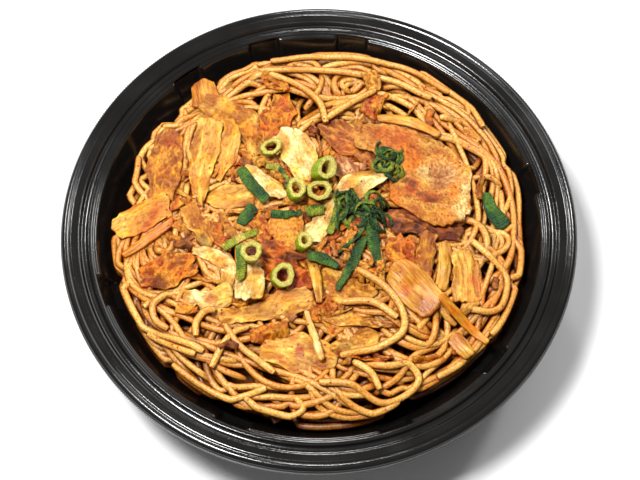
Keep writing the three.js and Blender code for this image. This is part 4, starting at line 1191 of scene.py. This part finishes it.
def wandering_route(length, start_out, spin, follow):
    """A strand that wanders in loops over the heap, follows its ring a little and curls back from its edge."""
    angle = random.uniform(0, 2 * math.pi)
    spot = start_out * np.array([math.cos(angle), math.sin(angle)])
    heading = angle + math.pi / 2 * spin + random.normal(0, SPREAD)
    drift, bend, spots = random.normal(0, DRIFT), 0.0, []
    for _ in range(int(length)):
        spots.append(spot.copy())
        bend = BEND_KEPT * bend + random.normal(0, BEND)
        out = float(np.hypot(*spot))
        radial = math.atan2(spot[1], spot[0])
        steer = (radial + math.pi / 2 * spin - heading + math.pi) % (2 * math.pi) - math.pi
        outward = math.cos(heading - radial)
        turn = 1 if math.sin(heading - radial) > 0 else -1
        room = float(edge_radius(*spot) - notch_depth(*spot)) - EDGE_ROOM - out
        curl = turn * soft_step((TURN_ROOM - room) / TURN_ROOM) * max(outward + CURL_START, 0) / TIGHTEST_TURN
        heading += bend + drift + follow * steer * soft_step((out - FOLLOW_FROM) / FOLLOW_FROM) + curl
        spot = spot + np.array([math.cos(heading), math.sin(heading)])
    return kept_inside(np.array(spots))


def beside(spots, distance):
    """A route that runs beside another one, a little nearer or farther as it goes."""
    way = np.arange(len(spots))
    away = distance + SWAY * np.sin(way / random.uniform(*SWAY_LENGTH) + random.uniform(0, 2 * math.pi))
    return kept_inside(spots + headings(spots)[1] * away[:, None])


# %% Noodles told apart
OVER_SLICES = (0, 1, 7, 8)
NOODLE_ROUTES = [
    [(-22, 68), (-8, 60), (0, 52), (3, 42)],
    [(3, 44), (13, 51), (23, 58)],
    [(-57, 46), (-47, 56), (-35, 63), (-22, 67)],
    [(-20, 75), (5, 77), (34, 72), (54, 62)],
    [(-24, 68), (0, 69), (25, 65), (46, 56)],
    [(42, 71), (52, 66), (62, 55), (67, 44)],
    [(39, 61), (52, 64), (61, 56), (59, 47), (49, 46)],
    [(15, -23), (26, -31), (32, -40), (32, -48), (23, -54), (8, -58)],
    [(9, -36), (20, -36), (30, -43)],
    [(5, -58), (26, -62), (34, -60), (38, -65), (35, -70), (24, -75), (12, -69), (0, -68)],
    [(5, -60), (6, -69), (13, -76), (24, -79), (31, -76)],
    [(13, -60), (20, -65), (23, -71)],
    [(58, -5), (66, -5), (72, -3), (78, 1)],
    [(77, -6), (82, -15), (80, -20), (74, -23)],
    [(60, -9), (66, -15), (73, -23), (73, -29), (70, -36), (65, -38), (57, -37)],
    [(75, -25), (77, -28), (76, -34), (72, -41), (67, -47)],
    [(47, -67), (53, -61), (58, -57)],
    [(-74, -24), (-78, -30), (-73, -40), (-65, -45), (-49, -53), (-44, -56)],
    [(-68, -36), (-61, -30), (-52, -29)],
    [(-58, -46), (-63, -42), (-64, -36), (-59, -32)],
    [(-47, -50), (-47, -44), (-43, -39), (-40, -39)],
    [(-41, -62), (-37, -54), (-32, -48), (-27, -46)],
    [(-36, -46), (-30, -54), (-17, -64)],
    [(-66, -46), (-60, -50), (-47, -57)],
    [(-57, -60), (-44, -68), (-36, -73), (-28, -72), (-20, -70)],
    [(-28, -73), (-20, -79), (-12, -80), (-6, -77), (-9, -73)],
    [(-74, 32), (-74, 20), (-68, 12)],
]

# %% Lay the strands
BASE_DEPTH = 9
BUNDLES = 140
TRIES = 14
NOODLE_RADIUS = (1.25, 1.5)
END_DIP, END_DIP_REACH = 2.5, 8
LID_RISE = 5.5
TOP_ROOM = 3
UNDER_ROOM = 0.1
EDGE_FALL, EDGE_FALL_WIDTH = 4, 9
CORE_CLEAR = 1.5
MOST_ROOM = 8
TIGHT_ROOM = 2.2
CROWDED_COST = 6
LEAST_ROOM = 0.5
BUNDLE_PITCH = 3.2
BUNDLE_LENGTH, BUNDLE_TRIM = (90, 230), 12
FOLLOW_SHARES = [0, 0.01, 0.03]
MOST_IN_BUNDLE = 3
OPEN_EDGE = 6
OUTERMOST_START = 80
NAMED_RADIUS = (1.35, 1.55)

contact = WALL_FOOT_HEIGHT + (PLAN_OUT + CORE_CLEAR - WALL_FOOT) / WALL_SLOPE
edge_fall = np.clip((PLAN_OUT - HEAP_EDGE + EDGE_FALL_WIDTH) / EDGE_FALL_WIDTH, 0, 1) ** 2
heap = np.maximum(HEAP_TOP - BASE_DEPTH - EDGE_FALL * edge_fall, contact)
open_lid = HEAP_TOP + LID_RISE - EDGE_FALL * edge_fall
lid = np.minimum(open_lid, ceiling - UNDER_ROOM)


def room_above(spots):
    """Mean height between the heap and its lid along a route, less where it is too low for a strand."""
    room = lid[cell(spots[:, 0]), cell(spots[:, 1])] - heap[cell(spots[:, 0]), cell(spots[:, 1])]
    return float(np.minimum(room, MOST_ROOM).mean() - CROWDED_COST * (room < TIGHT_ROOM).mean())


def best_route(length, follow):
    """The one of a few wandering routes that finds the most room on the heap."""
    routes = [
        wandering_route(length, OUTERMOST_START * math.sqrt(random.uniform(0.1, 1)), random.choice([-1, 1]), follow)
        for _ in range(TRIES)
    ]
    return max(routes, key=room_above)


def dipped(line):
    """A strand's heights with its two ends sunk into the heap."""
    return line - END_DIP * np.clip(1 - from_ends(len(line)) / END_DIP_REACH, 0, 1) ** 2


strands = []
for k in range(BUNDLES):
    leader = best_route(random.uniform(*BUNDLE_LENGTH), random.choice(FOLLOW_SHARES))
    for member in range(random.integers(1, MOST_IN_BUNDLE + 1)):
        spots = beside(leader, BUNDLE_PITCH * member)
        spots = spots[random.integers(0, BUNDLE_TRIM):len(leader) - random.integers(0, BUNDLE_TRIM)]
        if room_above(spots) < LEAST_ROOM:
            continue
        radius = random.uniform(*NOODLE_RADIUS)
        line = dipped(lay_strand(heap, spots, radius, lid))
        strands.append((np.column_stack([spots, line]), radius, random.uniform()))
for k, route in enumerate(NOODLE_ROUTES):
    spots = smooth_route(route, STRAND_STEP)[0]
    spots *= np.minimum(1, (edge_radius(*spots.T) - EDGE_ROOM) / np.hypot(*spots.T))[:, None]
    radius = random.uniform(*NAMED_RADIUS)
    if k in OVER_SLICES:
        line = lay_strand(np.maximum(heap, covers), spots, radius, np.full_like(heap, np.inf))
    else:
        line = lay_strand(heap, spots, radius, np.minimum(open_lid + TOP_ROOM, ceiling - UNDER_ROOM))
    strands.append((np.column_stack([spots, line]), radius, random.uniform(0, 0.5)))
open_top = (PLAN_OUT < HEAP_EDGE - OPEN_EDGE) & ~np.isfinite(ceiling)
print("share of the strands that something holds down:", round(sum(held) / len(held), 2))
print("strands:", len(strands), "heap above the core by", round(float((heap - HEAP_TOP)[open_top].mean()), 2), "mm")

# %% [markdown]
# ## Shreds and small cuts
# Between the big slices the photograph shows no bare noodles but a bed of small torn pieces: cabbage, kimchi
# and browned meat. Each is a small grid that falls onto the heap, bends over it and gets a thickness. They
# all go into one mesh. The same helper lays the small cuts of green onion that have no solid of their own.

# %% Laying a small piece
SHRED_STEP = 0.9
SHRED_SAG = 0.35
SHRED_WOBBLE, SHRED_WOBBLE_SIZE = 0.35, 1.5
SHRED_CURL, SHRED_CURL_SIZE = 0.6, 5
SHRED_CREST, SHRED_CREST_SIZE = 0.4, 2.2
SHRED_CLOUD, SHRED_CLOUD_SIZE = 1.5, 3
LEAST_LIFT = -0.1
ROOM_MISSING = 0.2
MOST_COVERED = 0.3


def resting_heights(heights):
    """Heights of a soft small piece over a map's heights: it bridges dips in both directions."""
    for _ in range(3):
        heights = np.maximum(heights, neighbours(heights).max(axis=0) - SHRED_SAG)
    for _ in range(2):
        heights = (neighbours(heights).sum(axis=0) + 2 * heights) / 6
    return heights


def add_small_piece(body, layers, cut, support, roof, seed):
    """A small grid along a route that rests on the support and stays under the roof; False if it has no room."""
    thick, (first, second), (paint, grain_layer) = cut["thick"], cut["colours"], layers
    spots = smooth_route(cut["route"], SHRED_STEP)[0]
    half = spread(cut["halves"], len(spots))
    columns = 2 * max(1, int(round(max(cut["halves"]) / SHRED_STEP)))
    across = np.linspace(-1, 1, columns + 1)
    side = headings(spots)[1]
    plan = spots[:, None, :] + side[:, None, :] * (across[None, :] * half[:, None])[:, :, None]
    cells = cell(plan[..., 0]), cell(plan[..., 1])
    rest = resting_heights(support[cells])
    room = roof[cells] - thick
    if (room < rest - ROOM_MISSING).mean() > MOST_COVERED:
        return False
    made = bmesh.ops.create_grid(body, x_segments=columns, y_segments=len(spots) - 1, size=1)["verts"]
    for point, i, j in grid_points(made, len(spots), columns + 1):
        along, aside = i * SHRED_STEP, across[j] * half[i]
        curl = SHRED_CURL * across[j] ** 2 * wave(along, 0, SHRED_CURL_SIZE, seed + 2)
        lift = cut["crumple"] * (ridge(along, aside, SHRED_CREST_SIZE, seed) - SHRED_CREST + curl)
        x = plan[i, j, 0] + SHRED_WOBBLE * wave(along, aside, SHRED_WOBBLE_SIZE, seed + 5)
        y = plan[i, j, 1] + SHRED_WOBBLE * wave(along, aside, SHRED_WOBBLE_SIZE, seed + 6)
        z = min(rest[i, j] + max(lift, LEAST_LIFT) + cut["tilt"] * across[j], room[i, j]) + thick
        cloud = soft_step(0.5 + SHRED_CLOUD * wave(along, aside, SHRED_CLOUD_SIZE, seed + 9))
        point.co = Vector((x, y, z)) * MM
        # Painted shade in valleys and a painted highlight on crests.
        point[paint] = solid(relief_shaded(blend(first, second, cloud), lift))
        point[grain_layer] = (along, aside, seed)
    thicken(body, list({face for point in made for face in point.link_faces}), lambda point: thick)
    np.maximum.at(support, cells, np.minimum(rest, room) + thick)
    return True


# %% Bed of shreds
SHRED_KINDS = [
    {"share": 0.45, "length": (7, 18), "half": (0.8, 2.2), "thick": 0.6, "crumple": 0.8,
     "colours": [(GOLD_LEAF, PALE_LEAF), (GOLD_LEAF, ORANGE), (BROWN_LEAF, GOLD_LEAF)]},
    {"share": 0.3, "length": (7, 15), "half": (2.2, 4.4), "thick": 0.8, "crumple": 1.5,
     "colours": [(ORANGE, GOLD_LEAF), (GOLD_LEAF, PALE_LEAF), (GOLD_LEAF, DEEP_ORANGE)]},
    {"share": 0.25, "length": (4, 9), "half": (1.2, 2.6), "thick": 1.1, "crumple": 0.9,
     "colours": [(BROWN_LEAF, DEEP_BROWN), (BROWN_LEAF, ORANGE), (PORK_GREY, BROWN_LEAF)]},
]
SHREDS = 900
SHRED_REACH, SHRED_END_REACH = 76, 77
BED_MIDDLE, BED_REACH = (-5, 6), (60, 47)
RING_SHARE = 0.07
SHRED_TURN, SHRED_TILT = 0.5, 0.8


def falls_here(x, y):
    """True if a shred may lie at a place: always on the bed, seldom on the ring of noodles."""
    out = math.hypot((x - BED_MIDDLE[0]) / BED_REACH[0], (y - BED_MIDDLE[1]) / BED_REACH[1])
    return random.uniform() < (1 if out < 1 else RING_SHARE)


shred_body = bmesh.new()
shred_layers = paint_layers(shred_body)
laid = 0
for k in range(SHREDS):
    angle, out = random.uniform(0, 2 * math.pi), SHRED_REACH * math.sqrt(random.uniform())
    x, y = out * math.cos(angle), out * math.sin(angle)
    if not falls_here(x, y):
        continue
    kind = SHRED_KINDS[random.choice(3, p=[row["share"] for row in SHRED_KINDS])]
    heading, length = random.uniform(0, 2 * math.pi), random.uniform(*kind["length"])
    turn, half = random.normal(0, SHRED_TURN), random.uniform(*kind["half"])
    steps = [(x, y)]
    for _ in range(3):
        x, y = x + length / 3 * math.cos(heading), y + length / 3 * math.sin(heading)
        steps.append((x, y))
        heading += turn
    halves = half * random.uniform(0.5, 1.0, 4)
    if max(math.hypot(*step) for step in steps) > SHRED_END_REACH:
        continue
    cut = {
        **kind, "route": steps, "halves": halves,
        "tilt": random.uniform(-SHRED_TILT, SHRED_TILT), "colours": kind["colours"][random.integers(3)],
    }
    laid += add_small_piece(shred_body, shred_layers, cut, heap, ceiling - UNDER_ROOM, k)
shred_mesh = finished_mesh(shred_body, "bed_of_shreds")
place_piece("bed_of_shreds", shred_mesh, FINISH["kimchi"], "kimchi", "noodles")
print("shreds laid:", laid, "with", count_faces(shred_mesh), "triangles")

# %% Small cuts of green onion
# Route, half widths, thickness and colours of cuts that lie on top of everything.
SMALL_GREENS = [
    ([(-19, 1), (-13, 0), (-7, 1)], [1.5, 1.6, 1.3], 0.8, (DARK_GREEN, MID_GREEN)),
    ([(18, -3), (16, -8), (11, -13), (7, -17)], [1.0, 1.2, 1.0, 0.6], 0.7, (DARK_GREEN, MID_GREEN)),
    ([(-5, 1), (-2, 2), (2, 2)], [1.9, 2.1, 1.8], 1.6, (LIGHT_GREEN, MID_GREEN)),
    ([(-21, 23), (-18, 22), (-15, 20)], [1.0, 1.3, 1.0], 1.2, (LIGHT_GREEN, RING_PALE)),
    ([(-16, 21), (-13, 17), (-13, 12)], [0.8, 1.0, 0.8], 0.7, (DARK_GREEN, LIGHT_GREEN)),
    ([(12, 4), (15, 6), (18, 3), (22, 3)], [1.0, 1.3, 1.2, 0.9], 0.7, (DARK_GREEN, MID_GREEN)),
    ([(14, -2), (18, 0), (23, -1), (26, -2)], [0.9, 1.2, 1.0, 0.7], 0.7, (DARK_GREEN, DARK_GREEN)),
    ([(23, 26), (26, 29), (30, 27), (29, 22)], [1.0, 1.4, 1.3, 1.0], 0.7, (DARK_GREEN, MID_GREEN)),
    ([(27, 17), (25, 21), (27, 25)], [1.0, 1.2, 1.0], 0.7, (MID_GREEN, DARK_GREEN)),
]
top_now = np.maximum(heap, covers)
green_body = bmesh.new()
green_layers = paint_layers(green_body)
no_roof = np.full_like(heap, np.inf)
for k, (route, halves, thick, colours) in enumerate(SMALL_GREENS):
    cut = {"route": route, "halves": halves, "thick": thick, "colours": colours, "crumple": 0.6, "tilt": 0.3}
    add_small_piece(green_body, green_layers, cut, top_now, no_roof, 300 + k)
green_mesh = finished_mesh(green_body, "small_greens")
place_piece("small_greens", green_mesh, FINISH["green"], "onion_green")
print("small green cuts:", len(SMALL_GREENS))

# %% Knots of curled blades
BLADE_STEP = 1.2
BLADE_TAPER = np.array([0.7, 1, 1, 0.5])
BLADE_HALF, BLADE_TILT = (0.5, 0.95), 0.9
BLADE_COLOURS = [(DARK_GREEN, MID_GREEN), (DARK_GREEN, DARK_GREEN), (MID_GREEN, LIGHT_GREEN)]
curl_body = bmesh.new()
curl_layers = paint_layers(curl_body)
for node, knot in CURLED.items():
    for k in range(knot["blades"]):
        angle, out = random.uniform(0, 2 * math.pi), math.sqrt(random.uniform(0, 0.8))
        x = knot["middle"][0] + knot["reach"][0] * out * math.cos(angle)
        y = knot["middle"][1] + knot["reach"][1] * out * math.sin(angle)
        heading = random.uniform(0, 2 * math.pi)
        turn = random.uniform(*knot["turn"]) * random.choice([-1, 1])
        route = [(x, y)]
        for _ in range(random.integers(6, 11)):
            heading += turn
            x, y = x + BLADE_STEP * math.cos(heading), y + BLADE_STEP * math.sin(heading)
            route.append((x, y))
        cut = {
            "route": route, "halves": random.uniform(*BLADE_HALF) * BLADE_TAPER, "thick": 0.6, "crumple": 0.3,
            "tilt": random.uniform(-BLADE_TILT, BLADE_TILT), "colours": BLADE_COLOURS[random.integers(3)],
        }
        add_small_piece(curl_body, curl_layers, cut, top_now, no_roof, 400 + k)
curl_mesh = finished_mesh(curl_body, "green_curls")
place_piece("green_curls", curl_mesh, FINISH["green"], "onion_green", *CURLED)
print("curled blades:", count_faces(curl_mesh), "triangles")

# %% [markdown]
# The strands are lines so far. Geometry Nodes turns the lines into curves and sweeps a small circle along
# them. The attributes of a line's points, its paint and its thickness, go over to the tube's surface.

# %% Tubes by Geometry Nodes
NOODLE_SIDES = 8
# Painted shade of strands below the heap's surface: the depth where it is full, and how dark it gets.
DEEP_AT, DEEPEST = 3.5, 0.7
SURFACE_MARGIN = 0.8
SHADE_LENGTH, SHADE_SWING = 11, 0.35
SWELL_LENGTH, SWELL = 7, 0.05
END_THICKNESS, END_GROWTH = 0.72, 0.2
tube_tree = bpy.data.node_groups.new("strand_tubes", "GeometryNodeTree")
tube_tree.interface.new_socket("Geometry", in_out="INPUT", socket_type="NodeSocketGeometry")
tube_tree.interface.new_socket("Geometry", in_out="OUTPUT", socket_type="NodeSocketGeometry")
tube_in = tube_tree.nodes.new("NodeGroupInput")
tube_out = tube_tree.nodes.new("NodeGroupOutput")
lines = add_node(tube_tree, "GeometryNodeMeshToCurve", {"Mesh": tube_in.outputs["Geometry"]})
thickness = add_node(tube_tree, "GeometryNodeInputNamedAttribute", {"Name": "thickness"}, data_type="FLOAT")
circle = add_node(tube_tree, "GeometryNodeCurvePrimitiveCircle", {"Resolution": NOODLE_SIDES, "Radius": 1.0})
tubes = add_node(
    tube_tree,
    "GeometryNodeCurveToMesh",
    {
        "Curve": lines.outputs["Curve"],
        "Profile Curve": circle.outputs["Curve"],
        "Scale": thickness.outputs["Attribute"],
        "Fill Caps": True,
    },
)
tube_tree.links.new(tubes.outputs["Mesh"], tube_out.inputs["Geometry"])


def softened(heights, reach, times):
    """A map blurred by moving it a few cells each way."""
    for _ in range(times):
        moved = [np.roll(heights, step, axis) for step in (-reach, 0, reach) for axis in (0, 1)]
        heights = np.mean(moved, axis=0)
    return heights


HEAP_AROUND = softened(heap, 4, 4)


def strand_paint(tone, depth, way):
    """Colour of a strand: pale or golden along its way, with painted shade the deeper it lies."""
    shade = np.clip(tone + SHADE_SWING * np.sin(way / SHADE_LENGTH + 20 * tone), 0, 1)[:, None]
    deep = np.clip(depth / DEEP_AT, 0, 1)[:, None]
    return blend(blend(NOODLE_PALE, NOODLE_GOLD, shade), DEEPEST * NOODLE_SHADE_BROWN, deep)


def tube_mesh(name, batch):
    """One mesh of many strands."""
    points = np.vstack([spots for spots, _, _ in batch])
    sizes = [len(spots) for spots, _, _ in batch]
    firsts = np.concatenate([[0], np.cumsum(sizes)[:-1]])
    edges = [(first + k, first + k + 1) for first, size in zip(firsts, sizes) for k in range(size - 1)]
    mesh = bpy.data.meshes.new(name + "_lines")
    mesh.from_pydata((points * MM).tolist(), edges, [])
    # How deep each point lies under the heap around it, for the painted shade of deep strands.
    depth = np.maximum(HEAP_AROUND[cell(points[:, 0]), cell(points[:, 1])] - points[:, 2] - SURFACE_MARGIN, 0)
    firsts_of = np.repeat(np.arange(len(batch)), sizes)
    paint, thick, grain_values = np.zeros((len(points), 4)), np.zeros(len(points)), np.zeros((len(points), 3))
    for k, (spots, radius, tone) in enumerate(batch):
        mine = firsts_of == k
        way = np.arange(len(spots)) * STRAND_STEP
        paint[mine, :3] = strand_paint(tone, depth[mine], way)
        end = np.minimum(way, way[::-1])
        swell = 1 + SWELL * np.sin(way / SWELL_LENGTH + 9 * tone)
        thick[mine] = radius * swell * np.clip(END_THICKNESS + END_GROWTH * end, 0, 1) * MM
        grain_values[mine] = np.column_stack([way, np.full(len(spots), 40 * tone), np.full(len(spots), k)])
    paint[:, 3] = 1
    mesh.attributes.new("paint", "FLOAT_COLOR", "POINT").data.foreach_set("color", paint.ravel())
    mesh.attributes.new("thickness", "FLOAT", "POINT").data.foreach_set("value", thick)
    mesh.attributes.new("grain", "FLOAT_VECTOR", "POINT").data.foreach_set("vector", grain_values.ravel())
    carrier = bpy.data.objects.new(name + "_lines", mesh)
    bpy.context.scene.collection.objects.link(carrier)
    carrier.modifiers.new("tubes", "NODES").node_group = tube_tree
    made = bpy.data.meshes.new_from_object(carrier.evaluated_get(bpy.context.evaluated_depsgraph_get()))
    bpy.data.objects.remove(carrier)
    return made


BATCHES = 3
for k in range(BATCHES):
    name = "noodle_strands_" + "abc"[k]
    mesh = tube_mesh(name, strands[k::BATCHES])
    print(name, count_faces(mesh), "triangles")
    place_piece(name, mesh, FINISH["noodle"], "noodle", "noodles")

# %% [markdown]
# Between the strands the eye falls into the shade inside the heap. A plain body, painted dark for that
# shade, fills it, so that no light comes through from below.

# %% Painted shade inside the heap
# The inside of the heap is painted dark brown and near black: painted shade.
heap_shade_finish, heap_shade_tree, heap_shade_shader = new_material("heap_shade_inside", {"Roughness": 0.8, "Specular IOR Level": 0.15})
heap_shade_noise = noise_at(heap_shade_tree, object_place(heap_shade_tree), 250, 3)
heap_shade_colour = colour_mix(heap_shade_tree, ramp(heap_shade_tree, heap_shade_noise, 0.35, 0.65), solid(HEAP_SHADE), solid(DEEP_BROWN))
heap_shade_tree.links.new(heap_shade_colour, heap_shade_shader.inputs["Base Color"])

INSIDE_DEPTH = 8.5
INSIDE_BACK = 2.5
INSIDE_FALL_WIDTH = 8
WALL_GAP = 2
INSIDE_WALL_SLOPE = 0.538
FOOT_GAP, FOOT_LIFT = 1, 0.3
core_body = bmesh.new()
CORE_RINGS, CORE_SIDES = 24, 96
bmesh.ops.create_circle(core_body, cap_ends=True, cap_tris=True, segments=CORE_SIDES, radius=1)
rim_edges = [edge for edge in core_body.edges if edge.is_boundary]
spokes = [edge for edge in core_body.edges if not edge.is_boundary]
bmesh.ops.subdivide_edges(core_body, edges=spokes, cuts=CORE_RINGS)
for point in core_body.verts:
    x, y = point.co.x, point.co.y
    reach = float(edge_radius(x, y) - notch_depth(x, y)) - INSIDE_BACK
    x, y = x * reach, y * reach
    out = math.hypot(x, y)
    fall = min(max((out - reach + INSIDE_FALL_WIDTH) / INSIDE_FALL_WIDTH, 0), 1) ** 2
    floor_here = WALL_FOOT_HEIGHT + 1 + (out + WALL_GAP - WALL_FOOT) / INSIDE_WALL_SLOPE
    top_here = float(heap_height(x, y)) - INSIDE_DEPTH - EDGE_FALL * fall
    point.co = Vector((x, y, max(top_here, floor_here))) * MM
skirt = bmesh.ops.extrude_edge_only(core_body, edges=rim_edges)
for part in skirt["geom"]:
    if isinstance(part, bmesh.types.BMVert):
        out = math.hypot(part.co.x, part.co.y) / MM
        part.co.x *= (WALL_FOOT - FOOT_GAP) / out
        part.co.y *= (WALL_FOOT - FOOT_GAP) / out
        part.co.z = (WALL_FOOT_HEIGHT + FOOT_LIFT) * MM
bottom = [edge for edge in core_body.edges if edge.is_boundary]
bmesh.ops.contextual_create(core_body, geom=bottom)
core_mesh = finished_mesh(core_body, "heap_shade_inside")
place_piece("heap_shade_inside", core_mesh, heap_shade_finish, "noodle", "noodles")
print("inside of the heap:", count_faces(core_mesh), "triangles")

# %% [markdown]
# ## Sizes and the end
# The dressed part has to be as big as the imported solids are. Both boxes are printed.

# %% Write the sizes
visual_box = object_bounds()
for label, (low, high) in (("solids", cad_box), ("dressed", visual_box)):
    print(label, [round((b - a) / MM, 1) for a, b in zip(low, high)])
